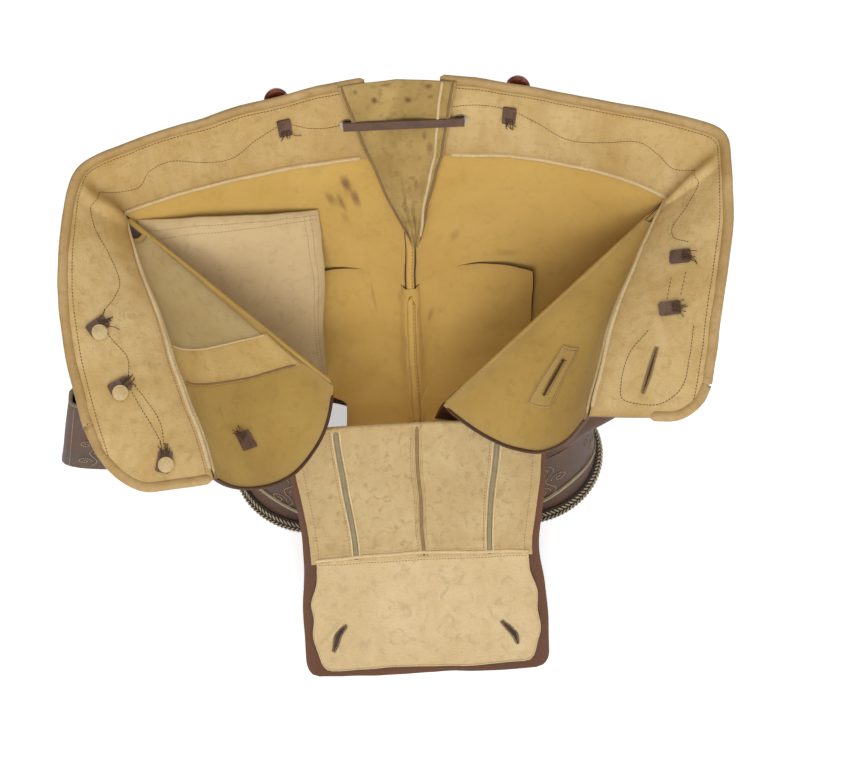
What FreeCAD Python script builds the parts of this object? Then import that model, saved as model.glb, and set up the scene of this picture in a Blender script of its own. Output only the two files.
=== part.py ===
import FreeCAD, Part
import math
import os

from FreeCAD import Placement, Rotation, Vector

# Short leather breeches with a drop front, unbuttoned: the legs stand on the floor, the waist is
# splayed open, both front wings lie folded out and the front flap hangs forward to the floor.
# Millimetres, +Z up, -Y to the front, +X to the garment's right-hand side seen from the front.
os.makedirs("parts", exist_ok=True)
doc = FreeCAD.newDocument("breeches")

# ---------------------------------------------------------------- driving sizes
sheet = doc.addObject("Spreadsheet::Sheet", "Sizes")
SIZES = {
    "shift_across": 30.15,         # moves the garment's mid-plane so the whole box is centred
    "shift_back": 18.8,
    "leather_thick": 2.8,         # body panels, both faces together
    "band_layer": 1.5,            # one layer of the waistband
    "lining_thick": 1.6,
    "seam_gap": 0.3,
    "binding_radius": 3.0,
    "fold_radius": 2.2,           # rolled leather on the fold lines
    "hem_centre": 94.0, "hem_wide": 69.0, "hem_deep": 64.0, "hem_back": 0.0,
    "thigh_centre": 80.0, "thigh_wide": 75.0, "thigh_deep": 60.0, "thigh_back": 8.0,
    "crotch_height": 88.0,
    "braid_high": 9.0, "braid_thick": 2.4,
    "hip_ease": 70.0, "hip_ease_left": 94.0, "seat_ease": 34.0,
    "flap_half": 106.0, "flap_layer": 1.6,
    "facing_start": 0.5,          # where the flap's facing begins, as a share of its length
    "button_radius": 9.5, "button_thick": 4.6, "shank_radius": 1.5, "shank_long": 5.0,
    "eyelet_radius": 5.2, "eyelet_hole": 2.7, "eyelet_lip": 0.8,
    "lace_wide": 8.0, "lace_thick": 1.8, "lace_end_radius": 2.2, "knot_radius": 5.0,
    "patch_wide": 11.0, "patch_high": 17.0, "patch_thick": 1.4,
    "sheath_wide": 42.0, "sheath_deep": 14.0, "sheath_high": 122.0, "sheath_base": 28.8, "sheath_lean": 14.0, "gusset_lean": 2.0,
    "sheath_slot_wide": 34.0, "sheath_slot_deep": 6.0, "sheath_slot_long": 112.0,
    "slit_long": 24.0, "slit_wide": 2.4,
}
# Landmarks of the garment, measured from its mid-plane: across, back, up.
POINTS = {
    "back_seam": (0, 147, 272), "back_rim": (0, 170, 347),
    "back_seam_ease": (85, 147, 273), "back_seam_ease_b": (168, 130, 272),
    "back_rim_ease": (90, 160, 346), "back_rim_ease_b": (190, 128, 343),
    "corner_right": (212, 94, 270), "corner_rim_right": (250, 106, 340),
    "wing_seam_ease_right": (158, 12, 262), "wing_end_right": (134, -84, 240),
    "wing_rim_ease_right": (252, 30, 300), "wing_rim_end_right": (219, -92, 241),
    "slit_end_right": (22, -27, 154),
    "lapel_ease_right": (106, -98, 140), "lapel_ease_b_right": (54, -68, 166),
    "corner_left": (232, 102, 270), "corner_rim_left": (252, 102, 339),
    "wing_seam_ease_left": (196, -6, 256), "wing_end_left": (158, -118, 226),
    "wing_rim_ease_left": (292, 20, 300), "wing_rim_end_left": (238, -126, 224),
    "slit_end_left": (68, -5, 160),
    "lapel_ease_left": (142, -124, 176), "lapel_ease_b_left": (76, -97, 150),
    "sheath_middle": (-293, -2.1, 0),
    "bag_mid_in": (86, 86, 150), "bag_low_in": (92, 50, 70),
    "bag_mid_out": (184, 60, 152), "bag_low_out": (130, 36, 86),
    "flap_fold": (0, -38, 145), "flap_middle": (0, -122, 64), "flap_end": (0, -208, 5),
}
row = 1
for alias, value in SIZES.items():
    sheet.set("A%d" % row, alias)
    sheet.set("B%d" % row, str(value))
    sheet.setAlias("B%d" % row, alias)
    row += 1
for alias, xyz in POINTS.items():
    for part_name, value in zip(("across", "back", "up"), xyz):
        sheet.set("A%d" % row, alias + "_" + part_name)
        sheet.set("B%d" % row, str(value))
        sheet.setAlias("B%d" % row, alias + "_" + part_name)
        row += 1
doc.recompute()


def size(alias):
    return float(sheet.get(alias))


def landmark(alias):
    return Vector(*[size(alias + "_" + axis) for axis in ("across", "back", "up")])


# ---------------------------------------------------------------- the garment's surfaces
# side is +1 for the garment's +X half and -1 for its -X half; landmarks are stored unmirrored.
RIGHT, LEFT = 1, -1
SIDE_NAME = {RIGHT: "right", LEFT: "left"}


def own(alias, side):
    return landmark(alias + "_" + SIDE_NAME[side])


def mirrored(p, side):
    return Vector(p.x * side, p.y, p.z)


def curve2(a, b, c, t):
    return a * (1 - t) ** 2 + b * (2 * t * (1 - t)) + c * t ** 2


def curve3(a, b, c, d, t):
    return a * (1 - t) ** 3 + b * (3 * t * (1 - t) ** 2) + c * (3 * t * t * (1 - t)) + d * t ** 3


def back_seam(side, along):
    return curve3(landmark("back_seam"), landmark("back_seam_ease"), landmark("back_seam_ease_b"),
                  own("corner", side), along)


def back_rim(side, along):
    return curve3(landmark("back_rim"), landmark("back_rim_ease"), landmark("back_rim_ease_b"),
                  own("corner_rim", side), along)


def wing_seam(side, along):
    return curve2(own("corner", side), own("wing_seam_ease", side), own("wing_end", side), along)


def wing_rim(side, along):
    return curve2(own("corner_rim", side), own("wing_rim_ease", side), own("wing_rim_end", side), along)


def free_edge(side, down):
    return curve3(own("wing_end", side), own("lapel_ease", side), own("lapel_ease_b", side),
                  own("slit_end", side), down)


def fold_line(side, along):
    a, b = own("corner", side), own("slit_end", side)
    return a + (b - a) * along


def back_band(side, along, up):
    a, b = back_seam(side, along), back_rim(side, along)
    return a + (b - a) * up


def wing_band(side, along, up):
    a, b = wing_seam(side, along), wing_rim(side, along)
    return a + (b - a) * up


def lapel(side, along, down):
    """Folded-out front panel: a fan from the waist corner, seam at down=0, fold line at down=1."""
    corner, edge = own("corner", side), free_edge(side, down)
    straight = corner + (own("wing_end", side) - corner) * along
    return corner + (edge - corner) * along + (wing_seam(side, along) - straight) * (1 - down)


def thigh_ring(turn):
    a = math.radians(turn)
    return Vector(size("thigh_centre") - size("thigh_wide") * math.cos(a),
                  size("thigh_back") + size("thigh_deep") * math.sin(a), size("crotch_height"))


def body_shell(side, around, up):
    """Seat, hip and front: around=0 centre back, 0.5 waist corner, 1 front slit."""
    low = thigh_ring(345 * around)
    if around <= 0.5:
        top = back_seam(side, around / 0.5)
    else:
        top = fold_line(side, (around - 0.5) / 0.5)
    p = low * (1 - up) + top * up
    swell = math.sin(math.pi * up) * (1 - up ** 4)
    seat = max(0.0, math.cos(math.pi * min(around, 0.5))) * size("seat_ease") * swell
    hip = math.exp(-((around - 0.53) / 0.18) ** 2) * swell
    hip *= size("hip_ease") if side == RIGHT else size("hip_ease_left")
    p = p + Vector(0, 0.62, -0.78) * seat + Vector(1, -0.22, -0.30) * hip
    return Vector(max(p.x, size("binding_radius") + 0.6), p.y, p.z)


def front_flap(across, down):
    """Dropped flap: across -1..1, down=0 at the fold, 1 at its far edge on the floor."""
    fold, mid, end = landmark("flap_fold"), landmark("flap_middle"), landmark("flap_end")
    p = curve2(fold, mid * 2 - (fold + end) * 0.5, end, down)
    sag = across * across
    return p + Vector(size("flap_half") * across, -2 * sag * (1 - down), -2 * sag * (1 - down))


def front_rise(across, up):
    """Short front below the flap's fold, standing up from the two thighs."""
    x = size("flap_half") * across
    low = Vector(x, size("thigh_back") - size("thigh_deep") - 2.9 + 25 * math.exp(-(x / 24) ** 2),
                 size("crotch_height") + 2.2)
    sag = across * across
    top = landmark("flap_fold") + Vector(x, 0.7 - 2 * sag, -2 * sag - 3.0)
    return low * (1 - up) + top * up


def along_at(side, x):
    """Where along the back seam the band stands x away from the mid-plane."""
    low, high = 0.0, 0.6
    for _ in range(24):
        middle = (low + high) / 2
        if back_seam(side, middle).x < x:
            low = middle
        else:
            high = middle
    return low


def v_gusset(across, down):
    """Wedge let in at the centre back: top at the rim, tip down in the seat."""
    reach = down * 2.1
    if reach <= 1:
        x = (40.0 - 9.0 * reach) * across
        side = RIGHT if x >= 0 else LEFT
        p = mirrored(back_band(side, along_at(side, abs(x)), 1 - reach), side)
        p = p + Vector(-size("gusset_lean") * (1 - reach), 0, 0)
    else:
        drop = (reach - 1) / 1.1
        p = body_shell(RIGHT, 0.0, 1 - 0.34 * drop)
        p = Vector((31 - 28.5 * drop) * across + size("gusset_lean") * drop, p.y, p.z)
    return p + Vector(0, -2.95, 0.95)


# ---------------------------------------------------------------- building helpers
def placed(obj):
    """Every piece built in garment coordinates is moved by the two shifts."""
    obj.setExpression("Placement.Base.x", "Sizes.shift_across")
    obj.setExpression("Placement.Base.y", "Sizes.shift_back")
    return obj


def unit_normal(surface, a, b):
    step = 0.004
    along = surface(min(a + step, 1), b) - surface(max(a - step, 0), b)
    across = surface(a, min(b + step, 1)) - surface(a, max(b - step, 0))
    n = along.cross(across)
    return n.normalize()


def skin(surface, inside, low, high, count_a=17, count_b=13):
    """Solid sheet between two offsets from a surface over the unit square.

    inside is +1 or -1: the sense in which the surface normal points at the garment's inside.
    """
    faces = []
    for lift in (low, high):
        grid = [[surface(i / (count_a - 1), j / (count_b - 1))
                 + unit_normal(surface, i / (count_a - 1), j / (count_b - 1)) * (lift * inside)
                 for j in range(count_b)] for i in range(count_a)]
        patch = Part.BSplineSurface()
        patch.buildFromPolesMultsKnots(grid, [4] + [1] * (count_a - 4) + [4], [4] + [1] * (count_b - 4) + [4],
                                       list(range(count_a - 2)), list(range(count_b - 2)), False, False, 3, 3)
        faces.append(patch.toShape())
    for near, far in zip(faces[0].Edges, faces[1].Edges):
        faces.append(Part.makeLoft([Part.Wire(near), Part.Wire(far)], False, True).Faces[0])
    shell = Part.makeShell(faces)
    shell.sewShape(0.001)
    solid = Part.makeSolid(Part.Shell(shell.Faces))
    if solid.Volume < 0:
        solid.reverse()
    return solid


def span(surface, side, a0, a1, b0, b1):
    """The part a0..a1, b0..b1 of a surface as a unit-square surface; limits may be functions."""
    def value(limit, other):
        return limit(other) if callable(limit) else limit

    def patch(a, b):
        bb = value(b0, 0.5) * (1 - b) + value(b1, 0.5) * b
        aa = value(a0, bb) * (1 - a) + value(a1, bb) * a
        bb = value(b0, aa) * (1 - b) + value(b1, aa) * b
        return mirrored(surface(side, aa, bb), side)
    return patch


def feature(name, shape):
    obj = doc.addObject("Part::Feature", name)
    obj.Label = name
    obj.Shape = shape
    return placed(obj)


def tube_along(points, radius):
    line = Part.BSplineCurve()
    line.interpolate(points)
    edge = line.toShape()
    start = edge.valueAt(edge.FirstParameter)
    heading = edge.tangentAt(edge.FirstParameter)
    ring = Part.Wire(Part.makeCircle(radius, start, heading))
    return Part.Wire(edge).makePipeShell([ring], True, True)


def on_face(surface, inside, a, b, lift, turn=0.0):
    """Placement with local Z off the face (lift > 0 inside the garment) and local X along a."""
    z = unit_normal(surface, a, b) * inside
    if lift < 0:
        z = z * -1
    x = surface(min(a + 0.01, 1), b) - surface(max(a - 0.01, 0), b)
    x = (x - z * x.dot(z)).normalize()
    y = z.cross(x)
    base = surface(a, b) + z * abs(lift) + Vector(size("shift_across"), size("shift_back"), 0)
    turned = Rotation(x, y, z, "ZXY") * Rotation(Vector(0, 0, 1), turn)
    return Placement(base, turned)


def body_sketch(body, plane_role, name):
    plane = [p for p in body.Origin.OriginFeatures if p.Role == plane_role][0]
    sketch = body.newObject("Sketcher::SketchObject", name)
    sketch.AttachmentSupport = [(plane, "")]
    sketch.MapMode = "FlatFace"
    return sketch


def bound_length(sketch, kind, first, second, expression, name):
    index = sketch.addConstraint(kind(first, second))
    sketch.renameConstraint(index, name)
    sketch.setExpression("Constraints." + name, expression)


shown = []


def finish(obj, name):
    obj.Label = name
    shown.append((name, obj))
    return obj


# ---------------------------------------------------------------- legs
import Sketcher  # noqa: E402


def ellipse(name, wide, deep, centre, back, height, side, extra):
    obj = doc.addObject("Part::Ellipse", name)
    obj.setExpression("MajorRadius", "%s + %s" % (wide, extra))
    obj.setExpression("MinorRadius", "%s + %s" % (deep, extra))
    obj.setExpression("Placement.Base.x", "Sizes.shift_across + %d * %s" % (side, centre))
    obj.setExpression("Placement.Base.y", "Sizes.shift_back + %s" % back)
    obj.setExpression("Placement.Base.z", height)
    return obj


def leg_loft(name, side, extra):
    low = ellipse(name + "Hem", "Sizes.hem_wide", "Sizes.hem_deep", "Sizes.hem_centre",
                  "Sizes.hem_back", "0", side, extra)
    high = ellipse(name + "Thigh", "Sizes.thigh_wide", "Sizes.thigh_deep", "Sizes.thigh_centre",
                   "Sizes.thigh_back", "Sizes.crotch_height - Sizes.seam_gap", side, extra)
    loft = doc.addObject("Part::Loft", name)
    loft.Sections = [low, high]
    loft.Solid = True
    loft.Ruled = True
    return loft


def at_braid(what):
    """A leg size at the top of the braid, part of the way from hem to thigh."""
    return ("(Sizes.hem_%s + (Sizes.thigh_%s - Sizes.hem_%s) * Sizes.braid_high / Sizes.crotch_height)"
            % (what, what, what))


for side in (RIGHT, LEFT):
    word = SIDE_NAME[side]
    leg = doc.addObject("Part::Cut", "leg_" + word)
    leg.Base = leg_loft("LegOut" + word, side, "Sizes.leather_thick / 2")
    leg.Tool = leg_loft("LegIn" + word, side, "-Sizes.leather_thick / 2")
    finish(leg, "leg_" + word)

    # woven braid round the outside of the hem
    rings = []
    for tag, extra in (("Out", "Sizes.leather_thick / 2 + Sizes.seam_gap + Sizes.braid_thick"),
                       ("In", "Sizes.leather_thick / 2 + Sizes.seam_gap")):
        low = ellipse("BraidLow%s%s" % (tag, word), "Sizes.hem_wide", "Sizes.hem_deep",
                      "Sizes.hem_centre", "Sizes.hem_back", "0", side, extra)
        high = ellipse("BraidHigh%s%s" % (tag, word), at_braid("wide"), at_braid("deep"),
                       at_braid("centre"), at_braid("back"), "Sizes.braid_high", side, extra)
        rise = doc.addObject("Part::Loft", "BraidRise%s%s" % (tag, word))
        rise.Sections = [low, high]
        rise.Solid = True
        rise.Ruled = True
        rings.append(rise)
    braid = doc.addObject("Part::Cut", "hem_braid_" + word)
    braid.Base, braid.Tool = rings
    finish(braid, "hem_braid_" + word)

# ---------------------------------------------------------------- seat, hips and front below the folds
half = size("leather_thick") / 2
for side in (RIGHT, LEFT):
    word = SIDE_NAME[side]
    clear = size("fold_radius") + size("seam_gap") + 1.4

    def under_fold(around, side=side, clear=clear):
        """Share of the way up at which the panel stops, short of the rolled fold."""
        axis = (fold_line(side, 1) - fold_line(side, 0)).normalize()
        rise = fold_line(side, (around - 0.5) / 0.5) - thigh_ring(345 * around)
        depth = (rise - axis * rise.dot(axis)).Length
        return 1 - clear / depth

    seat = span(body_shell, side, 0.0, 0.268, 0.005, 0.985)
    hip = span(body_shell, side, 0.271, 0.492, 0.005, 0.985)
    front = span(body_shell, side, 0.503, 0.955, 0.005, under_fold)
    finish(feature("seat_" + word, skin(seat, side, -half, half)), "seat_" + word)
    finish(feature("hip_" + word, skin(hip, side, -half, half)), "hip_" + word)
    finish(feature("front_" + word, skin(front, side, -half, half, 27, 15)), "front_" + word)

# centre-back seam of the seat, a raised welt lying in the mid-plane
welt = [body_shell(RIGHT, 0.0, 0.02 + 0.62 * i / 6) for i in range(7)]
welt = [Vector(0, p.y, p.z) for p in welt]
finish(feature("seat_seam", tube_along(welt, size("fold_radius"))), "seat_seam")


def crotch(across, along):
    """Small saddle between the thighs, under the seat seam's foot."""
    return Vector(3.1 * across, 12 - 38 * along, size("crotch_height") - 3.6 - 1.5 * math.sin(math.pi * along))


finish(feature("crotch_gusset", skin(lambda a, b: crotch(2 * a - 1, b), -1, -half * 0.5, half * 0.5, 5, 5)),
       "crotch_gusset")
finish(feature("front_rise", skin(lambda a, b: front_rise(2 * a - 1, b), 1, -half, half, 25, 7)),
       "front_rise")

# rolled fold that carries the flap
fold = doc.addObject("Part::Cylinder", "flap_fold")
fold.setExpression("Radius", "Sizes.fold_radius")
fold.setExpression("Height", "2 * (Sizes.flap_half - 3)")
fold.Placement = Placement(Vector(0, 0, 0), Rotation(Vector(0, 0, 1), Vector(1, 0, 0)))
fold.setExpression("Placement.Base.x", "Sizes.shift_across - Sizes.flap_half + 3")
fold.setExpression("Placement.Base.y", "Sizes.shift_back + Sizes.flap_fold_back")
fold.setExpression("Placement.Base.z", "Sizes.flap_fold_up")
finish(fold, "flap_fold")

# ---------------------------------------------------------------- waistband, bindings and wings
layer = size("band_layer")
gap = size("seam_gap")
edge_up = 1 - (size("binding_radius") + gap) / 69
centre_start = 0.11


def wing_start(up):
    """The wing's first edge leans away from the back band so that it can swing."""
    return 0.02 + 0.045 * up


for side in (RIGHT, LEFT):
    word = SIDE_NAME[side]
    back = span(back_band, side, centre_start, 0.988, 0.006, edge_up)
    wing = span(wing_band, side, wing_start, 0.985, 0.006, edge_up)
    for tag, surface in (("back_band", back), ("wing_band", wing)):
        for kind, low, high in (("outer", -layer - 0.2, -0.2), ("lining", 0.2, layer + 0.2)):
            name = "%s_%s_%s" % (tag, kind, word)
            finish(feature(name, skin(surface, side, low, high, 19, 7)), name)

    rim = [mirrored(back_rim(side, 0.185 + (0.985 - 0.185) * i / 8), side) for i in range(9)]
    finish(feature("back_binding_" + word, tube_along(rim, size("binding_radius"))), "back_binding_" + word)
    rim = [mirrored(wing_rim(side, 0.085 + (0.985 - 0.085) * i / 8), side) for i in range(9)]
    finish(feature("wing_binding_" + word, tube_along(rim, size("binding_radius"))), "wing_binding_" + word)

    # rolled fold between the hip and the folded-out panel; the wing swings about it
    line = fold_line(side, 1) - fold_line(side, 0)
    roll = doc.addObject("Part::Cylinder", "front_fold_" + word)
    roll.setExpression("Radius", "Sizes.fold_radius")
    roll.Height = line.Length - 10
    start = mirrored(fold_line(side, 4 / line.Length), side)
    roll.Placement = Placement(start + Vector(size("shift_across"), size("shift_back"), 0),
                               Rotation(Vector(0, 0, 1), mirrored(line, side)))
    finish(roll, "front_fold_" + word)

    def lapel_low(along, side=side):
        """Lapel's lower limit: just clear of the rolled fold."""
        width = (free_edge(side, 1) - free_edge(side, 0)).Length * along
        return 1 - (size("fold_radius") + gap + 2.6) / width

    panel = span(lapel, side, 0.19, 0.985, 0.012, lapel_low)
    finish(feature("underlap_" + word, skin(panel, -side, -half, half, 17, 21)), "underlap_" + word)

# V gusset let into the centre back
finish(feature("back_gusset", skin(lambda a, b: v_gusset(2 * a - 1, b), 1, -0.8, 0.8, 13, 31)), "back_gusset")

# inner pocket bag: sewn on under the waistband on the -X side, hanging down towards the thigh
seat_wall = lambda a, b: mirrored(body_shell(LEFT, a, b), LEFT)  # noqa: E731


def off_wall(around, up, lift):
    return seat_wall(around, up) + unit_normal(seat_wall, around, up) * (LEFT * lift)


BAG_EDGES = [(off_wall(0.17, 0.95, half + 1.1), mirrored(landmark("bag_mid_in"), LEFT),
              mirrored(landmark("bag_low_in"), LEFT)),
             (off_wall(0.43, 0.93, half + 1.1), mirrored(landmark("bag_mid_out"), LEFT),
              mirrored(landmark("bag_low_out"), LEFT))]


def pocket_bag(across, down):
    near, far = [top * (1 - down) ** 2 + (mid * 4 - top - low) * (down * (1 - down)) + low * down ** 2
                 for top, mid, low in BAG_EDGES]
    return near * (1 - across) + far * across


finish(feature("pocket_bag", skin(pocket_bag, LEFT, -0.8, 0.8, 9, 9)), "pocket_bag")

# ---------------------------------------------------------------- flap
sheet_low = size("flap_layer")
start_down = (size("fold_radius") + gap + 0.2) / 225


def flap_part(x0, x1, d0, d1):
    return lambda a, b: front_flap(x0 + (x1 - x0) * a, d0 + (d1 - d0) * b)


facing = size("facing_start")
finish(feature("flap_outer", skin(flap_part(-1, 1, start_down * 1.35, 1), -1, -sheet_low, 0, 13, 25)), "flap_outer")
finish(feature("flap_lining", skin(flap_part(-0.93, 0.93, start_down, facing - 0.004), -1, 0.45,
                                   0.45 + sheet_low, 13, 13)), "flap_lining")
finish(feature("flap_facing", skin(flap_part(-0.93, 0.93, facing, 0.965), -1, 0.45,
                                   0.45 + sheet_low, 13, 13)), "flap_facing")

# ---------------------------------------------------------------- hardware
def button(name, placement):
    """Turned horn button: domed rim, dished face, thread shank behind."""
    body = doc.addObject("PartDesign::Body", name)
    sketch = body_sketch(body, "XZ_Plane", name + "Profile")
    long, radius, thick = size("shank_long"), size("button_radius"), size("button_thick")
    stem = size("shank_radius")
    points = [(0, 0), (stem, 0), (stem, long), (radius * 0.82, long), (radius, long + thick * 0.45),
              (radius * 0.88, long + thick), (radius * 0.62, long + thick * 0.72), (0, long + thick * 0.66)]
    for a, b in zip(points, points[1:] + points[:1]):
        sketch.addGeometry(Part.LineSegment(Vector(a[0], a[1], 0), Vector(b[0], b[1], 0)), False)
    count = len(points)
    for i in range(count):
        sketch.addConstraint(Sketcher.Constraint("Coincident", i, 2, (i + 1) % count, 1))
    sketch.addConstraint(Sketcher.Constraint("Coincident", 0, 1, -1, 1))
    sketch.addConstraint(Sketcher.Constraint("Vertical", count - 1))
    sketch.addConstraint(Sketcher.Constraint("Horizontal", 0))
    for label, geo, pos, kind, expression in (
            ("stem", 0, 2, "DistanceX", "Sizes.shank_radius"),
            ("shank", 1, 2, "DistanceY", "Sizes.shank_long"),
            ("stem_top", 1, 2, "DistanceX", "Sizes.shank_radius"),
            ("under_out", 2, 2, "DistanceX", "Sizes.button_radius * 0.82"),
            ("under_up", 2, 2, "DistanceY", "Sizes.shank_long"),
            ("rim_out", 3, 2, "DistanceX", "Sizes.button_radius"),
            ("rim_up", 3, 2, "DistanceY", "Sizes.shank_long + Sizes.button_thick * 0.45"),
            ("crown_out", 4, 2, "DistanceX", "Sizes.button_radius * 0.88"),
            ("crown_up", 4, 2, "DistanceY", "Sizes.shank_long + Sizes.button_thick"),
            ("dish_out", 5, 2, "DistanceX", "Sizes.button_radius * 0.62"),
            ("dish_up", 5, 2, "DistanceY", "Sizes.shank_long + Sizes.button_thick * 0.72"),
            ("centre_up", 6, 2, "DistanceY", "Sizes.shank_long + Sizes.button_thick * 0.66")):
        value = getattr(points[(geo + 1) % count], "__getitem__")(0 if kind == "DistanceX" else 1)
        index = sketch.addConstraint(Sketcher.Constraint(kind, -1, 1, geo, pos, value))
        sketch.renameConstraint(index, label)
        sketch.setExpression("Constraints." + label, expression)
    turned = body.newObject("PartDesign::Revolution", name + "Turned")
    turned.Profile = sketch
    turned.ReferenceAxis = (sketch, ["V_Axis"])
    turned.Angle = 360
    body.Tip = turned
    body.Placement = placement
    return finish(body, name)


def patch(name, placement):
    """Small backing patch of leather, sewn flat on."""
    box = doc.addObject("Part::Box", name + "Blank")
    box.setExpression("Length", "Sizes.patch_wide")
    box.setExpression("Width", "Sizes.patch_high")
    box.setExpression("Height", "Sizes.patch_thick")
    box.Placement = Placement(Vector(-size("patch_wide") / 2, -size("patch_high") / 2, 0), Rotation())
    rounded = doc.addObject("Part::Fillet", name)
    rounded.Base = box
    doc.recompute()
    upright = [i + 1 for i, e in enumerate(box.Shape.Edges)
               if abs(e.Vertexes[0].Point.z - e.Vertexes[-1].Point.z) > 1.0]
    rounded.Edges = [(i, 2.0, 2.0) for i in upright]
    rounded.Placement = placement
    return finish(rounded, name)


def whole(surface, side):
    return lambda a, b: mirrored(surface(side, a, b), side)


BACK = {side: whole(back_band, side) for side in (RIGHT, LEFT)}
WING = {side: whole(wing_band, side) for side in (RIGHT, LEFT)}
LAPEL = {side: whole(lapel, side) for side in (RIGHT, LEFT)}
band_face = layer + 0.2 + 0.35

# the big horn buttons stand off the outside; a leather patch backs each one on the inside
for side in (RIGHT, LEFT):
    word = SIDE_NAME[side]
    button("button_back_" + word, on_face(BACK[side], side, 0.33 if side == RIGHT else 0.36, 0.92, -band_face))
    patch("patch_back_" + word, on_face(BACK[side], side, 0.32 if side == RIGHT else 0.36, 0.62, band_face))

WING_BUTTONS = {"right_a": (RIGHT, 0.42, 0.55, 10), "right_b": (RIGHT, 0.62, 0.54, 16),
                "left_a": (LEFT, 0.53, 0.69, 28), "left_b": (LEFT, 0.71, 0.60, 14),
                "left_c": (LEFT, 0.93, 0.40, 60)}
for word, (side, along, up, turn) in WING_BUTTONS.items():
    button("button_wing_" + word, on_face(WING[side], side, along, up, -band_face - 0.15))
    patch("patch_wing_" + word, on_face(WING[side], side, along, up, band_face + 0.4, turn))

lapel_face = half + 0.2
button("button_underlap_left", on_face(LAPEL[LEFT], RIGHT, 0.83, 0.42, -lapel_face))
small = span(lapel, LEFT, 0.80, 0.86, 0.37, 0.47)
finish(feature("patch_underlap_left", skin(small, RIGHT, half + 0.3, half + 1.5, 7, 7)), "patch_underlap_left")
large = span(lapel, RIGHT, 0.62, 0.82, 0.42, 0.58)
finish(feature("patch_underlap_right", skin(large, LEFT, half + 0.3, half + 1.5, 9, 9)), "patch_underlap_right")


def pierce(name, tool):
    """Cut one hole through a finished piece."""
    index = [n for n, _ in shown].index(name)
    base = shown[index][1]
    base.Label = name + "_uncut"
    cut = doc.addObject("Part::Cut", name + "_cut")
    cut.Base, cut.Tool = base, tool
    cut.Label = name
    shown[index] = (name, cut)


def slit(name, placement):
    """Tool for a buttonhole: a narrow slot along its local X."""
    tool = doc.addObject("Part::Box", name)
    tool.setExpression("Length", "Sizes.slit_long")
    tool.setExpression("Width", "Sizes.slit_wide")
    tool.Height = 14
    tool.Placement = placement * Placement(Vector(-size("slit_long") / 2, -size("slit_wide") / 2, -7), Rotation())
    return tool


# eyelets through the band beside the gusset, and the flat lace between them
ends = {}
for side in (RIGHT, LEFT):
    word = SIDE_NAME[side]
    spot = on_face(BACK[side], side, 0.176, 0.50, layer + 0.2)
    ends[side] = spot
    drill = doc.addObject("Part::Cylinder", "EyeletDrill" + word)
    drill.setExpression("Radius", "Sizes.eyelet_hole + 0.7")
    drill.Height = 12
    drill.Placement = spot * Placement(Vector(0, 0, -8), Rotation())
    for kind in ("outer", "lining"):
        pierce("back_band_%s_%s" % (kind, word), drill)
    body = doc.addObject("PartDesign::Body", "eyelet_" + word)
    ring = body_sketch(body, "XZ_Plane", "EyeletProfile" + word)
    inner, outer, lip = size("eyelet_hole"), size("eyelet_radius"), size("eyelet_lip")
    long = 2 * size("band_layer") + 0.8
    points = [(inner, -long), (inner + 0.6, -long), (inner + 0.6, 0.1), (outer, 0.1), (outer, 0.1 + lip),
              (inner, 0.1 + lip)]
    for a, b in zip(points, points[1:] + points[:1]):
        ring.addGeometry(Part.LineSegment(Vector(a[0], a[1], 0), Vector(b[0], b[1], 0)), False)
    for i in range(6):
        ring.addConstraint(Sketcher.Constraint("Coincident", i, 2, (i + 1) % 6, 1))
        ring.addConstraint(Sketcher.Constraint("Horizontal" if i % 2 == 0 else "Vertical", i))
    for label, kind, geo, value, expression in (
            ("bore", "DistanceX", 0, inner, "Sizes.eyelet_hole"),
            ("wall", "DistanceX", 1, inner + 0.6, "Sizes.eyelet_hole + 0.6"),
            ("flange", "DistanceX", 3, outer, "Sizes.eyelet_radius"),
            ("top", "DistanceY", 5, 0.1 + lip, "Sizes.eyelet_lip + 0.1"),
            ("seat", "DistanceY", 2, 0.1, "0.1")):
        index = ring.addConstraint(Sketcher.Constraint(kind, -1, 1, geo, 1, value))
        ring.renameConstraint(index, label)
        ring.setExpression("Constraints." + label, expression)
    turned = body.newObject("PartDesign::Revolution", "EyeletTurned" + word)
    turned.Profile = ring
    turned.ReferenceAxis = (ring, ["V_Axis"])
    turned.Angle = 360
    body.Tip = turned
    body.Placement = spot
    finish(body, "eyelet_" + word)

first = ends[LEFT].multVec(Vector(0, 0, 3.6))
last = ends[RIGHT].multVec(Vector(0, 0, 3.6))
run = (last - first).normalize()
face = (ends[LEFT].Rotation.multVec(Vector(0, 0, 1)) + ends[RIGHT].Rotation.multVec(Vector(0, 0, 1))).normalize()
face = (face - run * face.dot(run)).normalize()
strap = doc.addObject("Part::Box", "LaceStrap")
strap.Length = (last - first).Length + 6
strap.setExpression("Width", "Sizes.lace_wide")
strap.setExpression("Height", "Sizes.lace_thick")
strap.Placement = Placement(first, Rotation(run, face.cross(run), face, "XZY")) * Placement(
    Vector(-3, -size("lace_wide") / 2, -size("lace_thick") / 2), Rotation())
pieces = [strap]
for side in (RIGHT, LEFT):
    tail = doc.addObject("Part::Cylinder", "LaceTail" + SIDE_NAME[side])
    tail.setExpression("Radius", "Sizes.lace_end_radius")
    tail.Height = 16
    tail.Placement = ends[side] * Placement(Vector(0, 0, -12), Rotation())
    knot = doc.addObject("Part::Sphere", "LaceKnot" + SIDE_NAME[side])
    knot.setExpression("Radius", "Sizes.knot_radius")
    knot.Placement = ends[side] * Placement(Vector(0, 0, -2 * layer - 1.2 - size("knot_radius")), Rotation())
    pieces += [tail, knot]
lace = doc.addObject("Part::MultiFuse", "back_lace")
lace.Shapes = pieces
finish(lace, "back_lace")

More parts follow.
